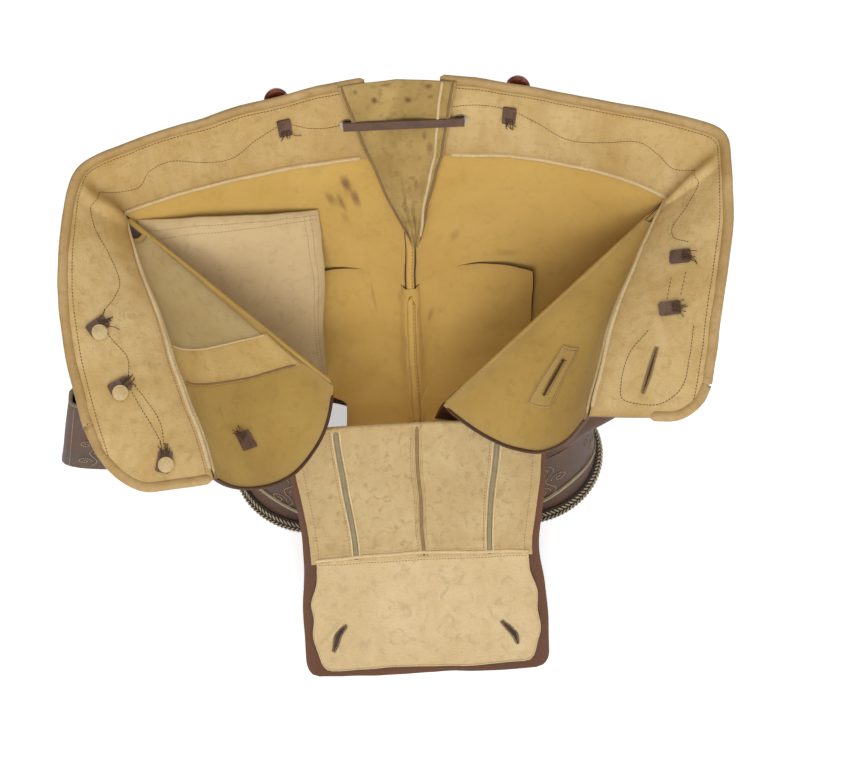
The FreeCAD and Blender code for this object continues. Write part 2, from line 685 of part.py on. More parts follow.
# buttonholes
spot = on_face(WING[RIGHT], RIGHT, 0.83, 0.48, 0.1)
wing_slit = slit("WingSlit", spot)
for kind in ("outer", "lining"):
    pierce("wing_band_%s_right" % kind, wing_slit)
spot = on_face(LAPEL[RIGHT], LEFT, 0.72, 0.50, 0.1)
lap_slit = slit("UnderlapSlit", spot)
for name in ("underlap_right", "patch_underlap_right"):
    pierce(name, lap_slit)
for word, across, turn in (("left", -0.76, 42), ("right", 0.72, -42)):
    spot = on_face(lambda a, b: front_flap(2 * a - 1, b), -1, (across + 1) / 2, 0.84, 0.1, turn)
    hole = slit("FlapSlit" + word, spot)
    for name in ("flap_outer", "flap_facing"):
        pierce(name, hole)

# knife sheath on the -X hip, open at the top
sheath = doc.addObject("PartDesign::Body", "knife_sheath")


def centred_box_sketch(body, name, wide, deep):
    sketch = body_sketch(body, "XY_Plane", name)
    w, d = size(wide[6:]) / 2, size(deep[6:]) / 2
    corners = [Vector(-w, -d, 0), Vector(w, -d, 0), Vector(w, d, 0), Vector(-w, d, 0)]
    for i in range(4):
        sketch.addGeometry(Part.LineSegment(corners[i], corners[(i + 1) % 4]), False)
    for i in range(4):
        sketch.addConstraint(Sketcher.Constraint("Coincident", i, 2, (i + 1) % 4, 1))
        sketch.addConstraint(Sketcher.Constraint("Horizontal" if i % 2 == 0 else "Vertical", i))
    sketch.addConstraint(Sketcher.Constraint("Symmetric", 0, 1, 2, 1, -1, 1))
    for label, kind, geo, value, expression in (("wide", "DistanceX", 0, 2 * w, wide),
                                                ("deep", "DistanceY", 1, 2 * d, deep)):
        index = sketch.addConstraint(Sketcher.Constraint(kind, geo, 1, geo, 2, value))
        sketch.renameConstraint(index, label)
        sketch.setExpression("Constraints." + label, expression)
    return sketch


outline = centred_box_sketch(sheath, "SheathOutline", "Sizes.sheath_wide", "Sizes.sheath_deep")
pad = sheath.newObject("PartDesign::Pad", "SheathPad")
pad.Profile = outline
pad.setExpression("Length", "Sizes.sheath_high")
mouth = centred_box_sketch(sheath, "SheathMouth", "Sizes.sheath_slot_wide", "Sizes.sheath_slot_deep")
mouth.setExpression("AttachmentOffset.Base.z", "Sizes.sheath_high")
slot = sheath.newObject("PartDesign::Pocket", "SheathSlot")
slot.Profile = mouth
slot.setExpression("Length", "Sizes.sheath_slot_long")
doc.recompute()
upright = ["Edge%d" % (i + 1) for i, e in enumerate(slot.Shape.Edges)
           if e.BoundBox.ZLength > size("sheath_high") - 1]
corner = sheath.newObject("PartDesign::Fillet", "SheathCorners")
corner.Base = (slot, upright)
corner.Radius = 3
sheath.Tip = corner
sheath.Placement = Placement(Vector(0, 0, 0), Rotation(Vector(0, 1, 0), size("sheath_lean")))
sheath.setExpression("Placement.Base.x", "Sizes.shift_across + Sizes.sheath_middle_across")
sheath.setExpression("Placement.Base.y", "Sizes.shift_back + Sizes.sheath_middle_back")
sheath.setExpression("Placement.Base.z", "Sizes.sheath_base")
finish(sheath, "knife_sheath")

# ---------------------------------------------------------------- check and write
doc.recompute()
for name, obj in shown:
    if "Invalid" in obj.State or "Error" in obj.State:
        raise RuntimeError("not built: " + name)
    shape = obj.Shape
    if shape.isNull() or not shape.isValid() or shape.Volume < 1:
        raise RuntimeError("bad shape: " + name)
if slot.Shape.Volume > pad.Shape.Volume - 1000:
    raise RuntimeError("the sheath's slot did not cut")
for name, obj in shown:
    obj.Shape.exportStep("parts/%s.step" % name)
box = FreeCAD.BoundBox()
for name, obj in shown:
    box.add(obj.Shape.BoundBox)
print("pieces", len(shown), "box", [round(v, 1) for v in (box.XMin, box.XMax, box.YMin, box.YMax,
                                                         box.ZMin, box.ZMax)])
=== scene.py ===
# %% [markdown]
# A pair of short leather breeches with a drop front, unbuttoned and standing on its legs.
# Everything is a thin sheet of hide or cloth, so the lesson is mostly about sheets: where a
# panel runs, how thick it is, what its two faces look like and how its seams are sewn.

# %% The frame
import math
import bpy
import numpy as np
from mathutils import Matrix, Vector, noise

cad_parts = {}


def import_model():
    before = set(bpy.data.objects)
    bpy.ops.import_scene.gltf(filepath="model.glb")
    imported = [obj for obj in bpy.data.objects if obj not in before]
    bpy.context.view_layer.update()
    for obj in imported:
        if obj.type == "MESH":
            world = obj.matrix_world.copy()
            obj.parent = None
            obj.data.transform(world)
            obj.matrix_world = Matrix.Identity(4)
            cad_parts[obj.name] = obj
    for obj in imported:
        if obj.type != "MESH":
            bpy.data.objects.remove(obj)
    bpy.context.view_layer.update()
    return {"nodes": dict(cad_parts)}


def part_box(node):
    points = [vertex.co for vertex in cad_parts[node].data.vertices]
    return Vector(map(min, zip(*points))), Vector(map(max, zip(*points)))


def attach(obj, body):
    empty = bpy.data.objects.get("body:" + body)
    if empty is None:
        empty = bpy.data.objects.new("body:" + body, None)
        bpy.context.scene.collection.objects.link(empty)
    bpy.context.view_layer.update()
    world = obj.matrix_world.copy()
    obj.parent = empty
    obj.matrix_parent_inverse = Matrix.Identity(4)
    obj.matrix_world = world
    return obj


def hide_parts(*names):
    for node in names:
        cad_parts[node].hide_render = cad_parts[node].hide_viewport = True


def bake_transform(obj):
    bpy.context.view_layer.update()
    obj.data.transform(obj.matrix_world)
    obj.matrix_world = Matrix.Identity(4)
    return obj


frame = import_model()

# %% [markdown]
# The pattern of the garment is a short list of landmarks in millimetres: across from the
# mid-plane, back, and up. The panels are curves between them, the same ones that the
# construction uses, so the sheets fall exactly where the solid panels are.

# %% Landmarks of the pattern
RIGHT, LEFT = 1, -1
WORD = {RIGHT: "right", LEFT: "left"}
SHIFT = np.array((30.15, 18.8, 0.0))
MARK = {k: np.array(v, float) for k, v in {
    "back_seam": (0, 147, 272), "back_rim": (0, 170, 347),
    "back_seam_ease": (85, 147, 273), "back_seam_ease_b": (168, 130, 272),
    "back_rim_ease": (90, 160, 346), "back_rim_ease_b": (190, 128, 343),
    "corner_right": (212, 94, 270), "corner_rim_right": (250, 106, 340),
    "wing_seam_ease_right": (158, 12, 262), "wing_end_right": (134, -84, 240),
    "wing_rim_ease_right": (252, 30, 300), "wing_rim_end_right": (219, -92, 241),
    "slit_end_right": (22, -27, 154),
    "lapel_ease_right": (106, -98, 140), "lapel_ease_b_right": (54, -68, 166),
    "corner_left": (232, 102, 270), "corner_rim_left": (252, 102, 339),
    "wing_seam_ease_left": (196, -6, 256), "wing_end_left": (158, -118, 226),
    "wing_rim_ease_left": (292, 20, 300), "wing_rim_end_left": (238, -126, 224),
    "slit_end_left": (68, -5, 160),
    "lapel_ease_left": (142, -124, 176), "lapel_ease_b_left": (76, -97, 150),
    "bag_mid_in": (-76, 104, 165), "bag_low_in": (-78, 40, 86),
    "bag_mid_out": (-190, 62, 160), "bag_low_out": (-140, 30, 92),
    "flap_fold": (0, -38, 145), "flap_middle": (0, -122, 64), "flap_end": (0, -208, 5),
}.items()}


HEM = dict(across=94, wide=69, deep=64, back=0)      # the ring at the foot of a leg
THIGH = dict(across=80, wide=75, deep=60, back=8)    # the ring where leg and body meet
CROTCH = 88.0
BODY_TURN = 345              # degrees of the thigh ring that a body panel goes round
FLAP_HALF = 106
FLAP_BOW = 2                 # the flap's sides hang this much lower than its middle


def world(p):
    """Garment millimetres to the frame's metres."""
    return (np.asarray(p, float) + SHIFT) / 1000


def own(name, side):
    return MARK[name + "_" + WORD[side]]


def flip(p, side):
    return p * np.array((side, 1.0, 1.0))


def arc2(a, b, c, t):
    t = np.asarray(t, float)[..., None]
    return a * (1 - t) ** 2 + b * (2 * t * (1 - t)) + c * t ** 2


def arc3(a, b, c, d, t):
    t = np.asarray(t, float)[..., None]
    return a * (1 - t) ** 3 + b * (3 * t * (1 - t) ** 2) + c * (3 * t ** 2 * (1 - t)) + d * t ** 3


def between(a, b, t):
    t = np.asarray(t, float)[..., None]
    return a * (1 - t) + b * t


print("landmarks", len(MARK))

# %% [markdown]
# The waistband runs from the centre back to the corner and on along the opened front. One
# number, `s`, walks along all of it: 0 to 1 is the back, 1 to 2 is the wing.

# %% Curves of the waistband
def band_seam(side, s):
    s = np.asarray(s, float)
    back = arc3(MARK["back_seam"], MARK["back_seam_ease"], MARK["back_seam_ease_b"],
                own("corner", side), np.clip(s, 0, 1))
    wing = arc2(own("corner", side), own("wing_seam_ease", side), own("wing_end", side),
                np.clip(s - 1, 0, 1))
    return np.where((s <= 1)[..., None], back, wing)


def band_rim(side, s):
    s = np.asarray(s, float)
    back = arc3(MARK["back_rim"], MARK["back_rim_ease"], MARK["back_rim_ease_b"],
                own("corner_rim", side), np.clip(s, 0, 1))
    wing = arc2(own("corner_rim", side), own("wing_rim_ease", side), own("wing_rim_end", side),
                np.clip(s - 1, 0, 1))
    return np.where((s <= 1)[..., None], back, wing)


def band(side, s, up):
    return flip(between(band_seam(side, s), band_rim(side, s), up), side)


def fold_line(side, t):
    return between(own("corner", side), own("slit_end", side), t)


def lapel(side, along, down):
    """The folded-out front: a fan from the waist corner, seam at down=0, fold at down=1."""
    corner = own("corner", side)
    edge = arc3(own("wing_end", side), own("lapel_ease", side), own("lapel_ease_b", side),
                own("slit_end", side), down)
    straight = between(corner, own("wing_end", side), along)
    lift = (band_seam(side, 1 + along) - straight) * (1 - down)[..., None]
    return flip(between(corner, edge, along) + lift, side)


# %% [markdown]
# The body of the breeches is a funnel that starts on the ring of the thigh and opens to the
# waist seam and the fold line. Two soft swells make the seat and the hips round.

# %% Surfaces of the body, the gusset and the front
def body_shell(side, around, up):
    turn = np.radians(BODY_TURN * around)
    low = np.stack((THIGH["across"] - THIGH["wide"] * np.cos(turn),
                    THIGH["back"] + THIGH["deep"] * np.sin(turn), np.full_like(turn, CROTCH)), -1)
    top = np.where((around <= 0.5)[..., None], band_seam(side, np.clip(around / 0.5, 0, 1)),
                   fold_line(side, np.clip((around - 0.5) / 0.5, 0, 1)))
    swell = np.sin(np.pi * up) * (1 - up ** 4)
    seat = np.maximum(0, np.cos(np.pi * np.minimum(around, 0.5))) * 34 * swell
    hip = np.exp(-((around - 0.53) / 0.18) ** 2) * swell * (70 if side == RIGHT else 94)
    p = between(low, top, up) + seat[..., None] * np.array((0, .62, -.78)) + hip[...,
        None] * np.array((1, -.22, -.30))
    p[..., 0] = np.maximum(p[..., 0], 3.6)
    return flip(p, side)


def front_flap(across, down):
    fold, mid, end = MARK["flap_fold"], MARK["flap_middle"], MARK["flap_end"]
    p = arc2(fold, mid * 2 - (fold + end) * 0.5, end, down)
    sag = across ** 2
    half = FLAP_HALF * (1 + 0.045 * np.exp(-(down / 0.22) ** 2) - 0.045
                        * np.exp(-((down - 0.47) / 0.17) ** 2))
    drop = -FLAP_BOW * sag * (1 - down)
    return p + np.stack((half * across, drop, drop), -1)


def front_rise(across, up):
    x = FLAP_HALF * across
    low = np.stack((x, -54.9 + 25 * np.exp(-(x / 24) ** 2), np.full_like(x, 90.2)), -1)
    sag = across ** 2
    top = MARK["flap_fold"] + np.stack((x, .7 - FLAP_BOW * sag, -FLAP_BOW * sag - 3.0), -1)
    return between(low, top, up)


def v_gusset(across, down):
    reach = down * 2.1
    x = (43.5 - 12.5 * reach) * across
    ts = np.linspace(0, 0.6, 400)
    xs = band_seam(RIGHT, ts)[:, 0]
    along = np.interp(np.abs(x), xs, ts)
    high = between(band_seam(RIGHT, along), band_rim(RIGHT, along), np.clip(1 - reach, 0, 1))
    high = high * np.stack((np.sign(x), np.ones_like(x), np.ones_like(x)), -1)
    high[..., 0] -= 4 * (1 - reach)
    drop = np.clip((reach - 1) / 1.1, 0, 1)
    low = body_shell(RIGHT, np.zeros_like(drop), 1 - .34 * drop)
    low[..., 0] = (31 - 28.5 * drop) * across + 4 * drop
    return np.where((reach <= 1)[..., None], high, low) + np.array((0, -2.75, .85))


print("body, flap, rise and gusset are ready")

# %% [markdown]
# Worn leather is never quite flat. One gentle field of small bumps moves every sheet, thread
# and binding alike, so seams stay closed. It fades out near the buttons, eyelets and patches,
# which are firm and keep their places.

# %% Rumple field
FIRM = [n for n in frame["nodes"] if n.startswith(("patch", "eyelet", "button", "back_lace", "knife"))]
FIRM_AT = np.array([(np.array(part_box(n)[0]) + np.array(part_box(n)[1])) / 2 for n in FIRM])
noise.seed_set(5)             # without a seed of its own the field would differ on every run


def rumple(p, strength=1.0):
    flat = p.reshape(-1, 3)
    out = np.empty_like(flat)
    for i, q in enumerate(flat):
        v = noise.noise_vector(Vector(q * 17)) * 2.2 + noise.noise_vector(Vector(q * 44 + 7)) * 0.7
        out[i] = (v.x, v.y, v.z)
    near = np.full(len(flat), 1e9)
    for c in FIRM_AT:
        near = np.minimum(near, np.linalg.norm(flat - c, axis=1))
    calm = np.clip((near - 0.012) / 0.024, 0, 1)
    return (flat + out * (calm * strength * 0.001)[:, None]).reshape(p.shape)


print("firm pieces", len(FIRM))

# %% [markdown]
# A sheet is two grids of points a few millimetres apart, closed round the rim. Making it in
# code keeps its thickness even, gives it a UV map in metres for weaves, and lets later steps
# ask where a seam runs on it.

# %% Helpers: sheets
def grid(nu, nv, u=(0, 1), v=(0, 1)):
    return np.meshgrid(np.linspace(u[0], u[1], nu), np.linspace(v[0], v[1], nv), indexing="ij")


def round_grid(nu, nv, high=1.0):
    """A grid whose first direction goes once round, in radians."""
    return np.meshgrid(np.arange(nu) / nu * 2 * np.pi, np.linspace(0, high, nv), indexing="ij")


def outward(turn, slope=1.0, up=0.0):
    return np.stack((np.cos(turn) * slope, np.sin(turn) * slope, 0 * turn + up), -1)


def unit(v):
    return v / np.linalg.norm(v, axis=-1, keepdims=True)


def ease(x):
    x = np.clip(x, 0, 1)
    return x * x * (3 - 2 * x)


def spots(U, V, marks, soft):
    """Old stains: each is a place, two radii and a strength on the sheet's own grid."""
    out = np.zeros_like(U)
    for a, b, ra, rb, k in marks:
        out = np.maximum(out, k * np.clip(soft - np.hypot((U - a) / ra, (V - b) / rb), 0, 1))
    return out


def deselect():
    if bpy.context.object and bpy.context.object.mode != "OBJECT":
        bpy.ops.object.mode_set(mode="OBJECT")
    bpy.ops.object.select_all(action="DESELECT")


def only(obj):
    deselect()
    obj.select_set(True)
    bpy.context.view_layer.objects.active = obj


def sheet(name, points, inside, thick, finishes, wrap=False, lift=0.0, stain=None, strength=1.0):
    """Sheet of `thick` mm round a grid of garment points; inside is the sign of its inner side."""
    P = rumple(world(points), strength)
    du = np.roll(P, -1, 0) - np.roll(P, 1, 0) if wrap else np.gradient(P, axis=0)
    N = np.cross(du, np.gradient(P, axis=1)) * inside
    N /= np.maximum(np.linalg.norm(N, axis=2, keepdims=True), 1e-12)
    nu, nv = P.shape[:2]
    top, low = P + N * (lift + thick / 2) / 1000, P + N * (lift - thick / 2) / 1000
    idx = np.arange(nu * nv).reshape(nu, nv)
    nxt = np.roll(idx, -1, 0) if wrap else idx[1:]
    cur = idx if wrap else idx[:-1]
    q = np.stack((cur[:, :-1], nxt[:, :-1], nxt[:, 1:], cur[:, 1:]), -1).reshape(-1, 4)
    rim = [np.stack((cur[:, 0], nxt[:, 0]), -1), np.stack((nxt[:, -1], cur[:, -1]), -1)]
    if not wrap:
        rim += [np.stack((idx[-1, :-1], idx[-1, 1:]), -1), np.stack((idx[0, 1:], idx[0, :-1]), -1)]
    rim = np.concatenate(rim)
    if inside < 0:
        q, rim = q[:, ::-1], rim[:, ::-1]
    n = nu * nv
    sides = np.stack((rim[:, 1], rim[:, 0], rim[:, 0] + n, rim[:, 1] + n), -1)
    faces = np.concatenate((q, q[:, ::-1] + n, sides))
    me = bpy.data.meshes.new(name)
    me.from_pydata(np.concatenate((top.reshape(-1, 3), low.reshape(-1, 3))).tolist(), [],
                   faces.tolist())
    for f in finishes:
        me.materials.append(f)
    kinds = np.concatenate((np.zeros(len(q)), np.ones(len(q)), np.full(len(sides), len(finishes) - 1)))
    me.polygons.foreach_set("material_index", kinds.astype(np.int32))
    run_u = np.concatenate((np.zeros((1, nv)),
                            np.cumsum(np.linalg.norm(np.diff(P, axis=0), axis=2), 0)))
    run_v = np.concatenate((np.zeros((nu, 1)),
                            np.cumsum(np.linalg.norm(np.diff(P, axis=1), axis=2), 1)), 1)
    uv = np.stack((run_u[:, nv // 2:nv // 2 + 1] + 0 * run_v, run_v), -1).reshape(-1, 2)
    uv = np.concatenate((uv, uv))[faces.reshape(-1)]
    me.uv_layers.new(name="UVMap").data.foreach_set("uv", uv.reshape(-1))
    d = np.minimum(run_v, run_v[:, -1:] - run_v)
    if not wrap:
        d = np.minimum(d, np.minimum(run_u, run_u[-1:] - run_u))
    for key, value in (("edge", np.exp(-d / 0.005)),
                       ("stain", np.zeros((nu, nv)) if stain is None else stain)):
        a = me.attributes.new(key, "FLOAT", "POINT")
        a.data.foreach_set("value", np.tile(value.reshape(-1), 2).astype(np.float32))
    obj = bpy.data.objects.new(name, me)
    bpy.context.scene.collection.objects.link(obj)
    only(obj)
    bpy.ops.object.shade_smooth_by_angle(angle=math.radians(50))
    area = np.linalg.norm(np.cross(np.gradient(P, axis=0), np.gradient(P, axis=1)), axis=2)[:-1,
        :-1].sum()
    print(name, "mid size", round(float(run_u[-1].mean()), 3), round(float(run_v[:, -1].mean()), 3),
          "area", round(float(area), 4))
    obj["mid"] = [float(run_u[-1].mean()), float(run_v[:, -1].mean()), float(area)]
    return {"obj": obj, "top": top, "low": low, "N": N}


def on(s, u, v, lift=0.0, face="top"):
    """Points and normals on a sheet's face, for u and v from 0 to 1 over its grid."""
    P = s[face]
    nu, nv = P.shape[:2]
    a, b = np.broadcast_arrays(np.clip(u, 0, 1) * (nu - 1.0), np.clip(v, 0, 1) * (nv - 1.0))
    i, j = np.minimum(a.astype(int), nu - 2), np.minimum(b.astype(int), nv - 2)
    fa, fb = (a - i)[..., None], (b - j)[..., None]

    def mix(G):
        return (G[i, j] * (1 - fa) * (1 - fb) + G[i + 1, j] * fa * (1 - fb)
                + G[i, j + 1] * (1 - fa) * fb + G[i + 1, j + 1] * fa * fb)

    n = unit(mix(s["N"]) * (1 if face == "top" else -1))
    return mix(P) + n * lift / 1000, n


print("sheet helper ready")

# %% [markdown]
# Bindings, welts and piping are soft tubes. A tube follows a path on a sheet and takes its
# section from the sheet's own direction, so that a binding can be wider than it is thick.

# %% Helpers: tubes and sewing thread
def resample(path, count):
    gap = np.linalg.norm(np.diff(path, axis=0), axis=1)
    run = np.concatenate(((0,), np.cumsum(gap)))
    t = np.linspace(0, run[-1], count)
    return np.stack([np.interp(t, run, path[:, k]) for k in range(3)], -1), run[-1]


def respace(normal, count):
    """The directions along a path, read again at even steps."""
    t, at = np.linspace(0, 1, count), np.linspace(0, 1, len(normal))
    return np.stack([np.interp(t, at, normal[:, k]) for k in range(3)], -1)


def mesh_piece(name, verts, faces, finish, smooth=True):
    me = bpy.data.meshes.new(name)
    me.from_pydata(np.asarray(verts).tolist(), [], faces)
    me.materials.append(finish)
    me.polygons.foreach_set("use_smooth", [smooth] * len(me.polygons))
    obj = bpy.data.objects.new(name, me)
    bpy.context.scene.collection.objects.link(obj)
    return obj


def tube(name, path, normal, wide, thick, finish, around=10, taper=True, step=0.003):
    """Closed tube; wide lies in the sheet, thick stands off it (half sizes in mm)."""
    length = np.linalg.norm(np.diff(path, axis=0), axis=1).sum()
    count = max(4, int(length / step))
    p, _ = resample(path, count)
    n = respace(normal, count)
    t = unit(np.gradient(p, axis=0))
    n = unit(n - t * (n * t).sum(1, keepdims=True))
    s = np.cross(n, t)
    a = np.arange(around) * 2 * np.pi / around
    size = np.ones(count)
    if taper:
        size[0] = size[-1] = 0.55
    ring = (s[:, None] * (np.cos(a) * wide)[None, :, None] + n[:, None] * (np.sin(a) * thick)[None, :,
        None]) / 1000
    v = p[:, None] + ring * size[:, None, None]
    idx = np.arange(count * around).reshape(count, around)
    r = np.roll(idx, -1, 1)
    q = np.stack((idx[:-1], idx[1:], r[1:], r[:-1]), -1).reshape(-1, 4)
    v = v.reshape(-1, 3)
    first = v[q[0]]
    cross = np.cross(first[1] - first[0], first[3] - first[0])
    if np.dot(cross, first[0] - p[0]) < 0:            # the faces must look outwards
        q, caps = q[:, ::-1], [idx[0].tolist(), idx[-1][::-1].tolist()]
    else:
        caps = [idx[0][::-1].tolist(), idx[-1].tolist()]
    return mesh_piece(name, v, q.tolist() + caps, finish)


deselect()
bpy.ops.mesh.primitive_uv_sphere_add(segments=6, ring_count=4, radius=0.5)
bpy.ops.object.mode_set(mode="EDIT")
bpy.ops.mesh.select_all(action="SELECT")
bpy.ops.transform.resize(value=(1, 1, 0.55))
bpy.ops.object.mode_set(mode="OBJECT")
one = bpy.context.object
STITCH = np.array([v.co[:] for v in one.data.vertices])[:, (2, 1, 0)] * np.array((1 / .55, 1, 0.8))
STITCH_FACES = [list(p.vertices)[::-1] for p in one.data.polygons]
bpy.data.objects.remove(one)


def stitches(name, path, normal, finish, pitch=3.0, long=2.3, thick=0.75, slant=0.0, sink=0.15):
    """A run of sewing along a path: one stitch modelled once, laid down again and again."""
    length = np.linalg.norm(np.diff(path, axis=0), axis=1).sum() * 1000
    count = max(2, int(length / pitch))
    p, _ = resample(path, count)
    n = respace(normal, count)
    t = unit(np.gradient(p, axis=0))
    s = unit(np.cross(n, t))
    t, s = t * math.cos(slant) + s * math.sin(slant), s * math.cos(slant) - t * math.sin(slant)
    k = STITCH * np.array((long, thick, thick)) / 1000
    v = (p[:, None] + n[:, None] * (thick * (0.5 - sink) / 1000) + t[:, None] * k[None, :, :1]
         + s[:, None] * k[None, :, 1:2] + n[:, None] * k[None, :, 2:])
    faces = [[i + c * len(STITCH) for i in f] for c in range(count) for f in STITCH_FACES]
    obj = mesh_piece(name, v.reshape(-1, 3), faces, finish)
    print(name, "stitches", count)
    return obj


def goes(obj, body, nodes=()):
    """Give a piece its body; given a pair of bodies with a bend's start and end, it only bakes the
    piece's place into its mesh.
    """
    if isinstance(body, str):
        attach(obj, body)
    else:
        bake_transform(obj)
    if nodes:
        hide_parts(*nodes)
    return obj


print("thread helper ready, faces of one stitch", len(STITCH_FACES))

# %% [markdown]
# Hides share three effects: a broad mottling of the tan, a fine pebble in the surface, and
# darker, harder edges where hands have rubbed. The mottling and the pebble, with a weave for
# the cloths, are built once as groups of nodes and used in every finish with its own values;
# the edges are read from each sheet inside the finish.

# %% Shared effects
def node(tree, kind, ins=None, **props):
    n = tree.nodes.new("ShaderNode" + kind)
    for k, v in props.items():
        setattr(n, k, v)
    for k, v in (ins or {}).items():
        if isinstance(v, bpy.types.NodeSocket):
            tree.links.new(v, n.inputs[k])
        else:
            n.inputs[k].default_value = v
    return n


def group(name, inputs, output):
    g = bpy.data.node_groups.new(name, "ShaderNodeTree")
    for label, value in inputs:
        g.interface.new_socket(label, in_out="INPUT",
                               socket_type="NodeSocketFloat").default_value = value
    g.interface.new_socket(output, in_out="OUTPUT", socket_type="NodeSocketFloat")
    return g, g.nodes.new("NodeGroupInput"), g.nodes.new("NodeGroupOutput")


mottle, gi, go = group("mottle", (("Scale", 14), ("Contrast", 1)), "Mask")
at = node(mottle, "TexCoord")
big = node(mottle, "TexNoise", {"Vector": at.outputs["Object"], "Scale": gi.outputs["Scale"],
                                "Detail": 5, "Roughness": .6, "Distortion": .6})
spread = node(mottle, "Math", {0: big.outputs["Fac"], 1: .5}, operation="SUBTRACT")
spread = node(mottle, "Math", {0: spread.outputs[0], 1: gi.outputs["Contrast"]}, operation="MULTIPLY")
spread = node(mottle, "Math", {0: spread.outputs[0], 1: .5}, operation="ADD", use_clamp=True)
mottle.links.new(spread.outputs[0], go.inputs["Mask"])

pebble, gi, go = group("pebble", (("Scale", 700), ("Creases", 90)), "Height")
at = node(pebble, "TexCoord")
cell = node(pebble, "TexVoronoi", {"Vector": at.outputs["Object"], "Scale": gi.outputs["Scale"]},
            feature="F1")
crease = node(pebble, "TexNoise", {"Vector": at.outputs["Object"], "Scale": gi.outputs["Creases"],
                                   "Detail": 6, "Roughness": .65, "Distortion": 1.2})
mix = node(pebble, "Math", {0: crease.outputs["Fac"], 1: 1.6}, operation="MULTIPLY")
mix = node(pebble, "Math", {0: mix.outputs[0], 1: cell.outputs["Distance"]}, operation="ADD")
pebble.links.new(mix.outputs[0], go.inputs["Height"])

weave, gi, go = group("weave", (("Threads", 5200), ("Slub", 40)), "Height")
uv = node(weave, "UVMap", uv_map="UVMap")
part = node(weave, "SeparateXYZ", {0: uv.outputs[0]})
waves = []
for axis in ("X", "Y"):
    m = node(weave, "Math", {0: part.outputs[axis], 1: gi.outputs["Threads"]}, operation="MULTIPLY")
    waves.append(node(weave, "Math", {0: m.outputs[0]}, operation="SINE"))
both = node(weave, "Math", {0: waves[0].outputs[0], 1: waves[1].outputs[0]}, operation="MULTIPLY")
slub = node(weave, "TexNoise", {"Vector": uv.outputs[0], "Scale": gi.outputs["Slub"], "Detail": 4})
both = node(weave, "Math", {0: both.outputs[0], 1: slub.outputs["Fac"]}, operation="ADD")
weave.links.new(both.outputs[0], go.inputs["Height"])
print("effects", [g.name for g in bpy.data.node_groups])

# %% [markdown]
# Every hide and cloth is the same recipe with different numbers: a light and a deep tone
# mixed by the mottling, a third tone rubbed into the edges, a stain where one is marked on
# the sheet, and a surface that is either pebbled or woven. Some also get darker streaks, which
# are painted shade of folds.

# %% Finishes
def use(tree, g, **values):
    n = tree.nodes.new("ShaderNodeGroup")
    n.node_tree = g
    for k, v in values.items():
        n.inputs[k].default_value = v
    return n


def blend_colour(tree, mask, a, b, mode="MIX"):
    n = node(tree, "Mix", data_type="RGBA", blend_type=mode)
    for socket, value in ((n.inputs[0], mask), (n.inputs[6], a), (n.inputs[7], b)):
        if isinstance(value, bpy.types.NodeSocket):
            tree.links.new(value, socket)
        else:
            socket.default_value = value if isinstance(value, (int, float)) else (*value, 1)
    return n.outputs[2]


def hide(name, light, deep, edge=None, stain=(.16, .08, .035), scale=16, contrast=2.2, rough=(.55, .75),
         bump=.25,
         depth=.0005, cloth=False, pebble_scale=750, creases=90, sheen=0.0, coat=0.0, fleck=.5,
         edge_amount=.55, fold_shade_streak=None):
    m = bpy.data.materials.new(name)
    m.use_nodes = True
    t = m.node_tree
    t.nodes.clear()
    broad = use(t, mottle, Scale=scale, Contrast=contrast)
    fine = use(t, mottle, Scale=scale * 9, Contrast=2.5)
    colour = blend_colour(t, broad.outputs[0], deep, light)
    darker = tuple(c * .72 for c in deep)
    ramp = node(t, "MapRange", {"Value": fine.outputs[0], "From Min": .55, "From Max": 1.0,
                                "To Max": fleck})
    colour = blend_colour(t, ramp.outputs[0], colour, darker)
    # Darker streaks stretched along one direction: painted fold shade, not a mark in the hide.
    if fold_shade_streak:
        at = node(t, "TexCoord")
        turn = node(t, "Mapping", {"Vector": at.outputs["Object"], "Rotation": fold_shade_streak[1],
                                   "Scale": (60, 60, 7)})
        lines = node(t, "TexNoise", {"Vector": turn.outputs[0], "Scale": 1.5, "Detail": 4,
                                     "Roughness": .6})
        part = node(t, "MapRange", {"Value": lines.outputs["Fac"], "From Min": .45, "From Max": .75,
                                    "To Max": .55})
        colour = blend_colour(t, part.outputs[0], colour, fold_shade_streak[0])
    if edge:
        rub = node(t, "Attribute", attribute_name="edge")
        part = node(t, "Math", {0: rub.outputs["Fac"], 1: edge_amount}, operation="MULTIPLY")
        colour = blend_colour(t, part.outputs[0], colour, edge)
    spot = node(t, "Attribute", attribute_name="stain")
    colour = blend_colour(t, spot.outputs["Fac"], colour, stain)
    surface = use(t, weave) if cloth else use(t, pebble, Scale=pebble_scale, Creases=creases)
    height = node(t, "Bump", {"Height": surface.outputs[0], "Strength": bump, "Distance": depth})
    dull = node(t, "MapRange", {"Value": broad.outputs[0], "To Min": rough[0], "To Max": rough[1]})
    s = node(t, "BsdfPrincipled", {"Base Color": colour, "Roughness": dull.outputs[0],
                                   "Normal": height.outputs[0],
                                   "Sheen Weight": sheen, "Coat Weight": coat, "Coat Roughness": .3,
                                   "Specular IOR Level": .35})
    out = node(t, "OutputMaterial", {"Surface": s.outputs[0]})
    return m


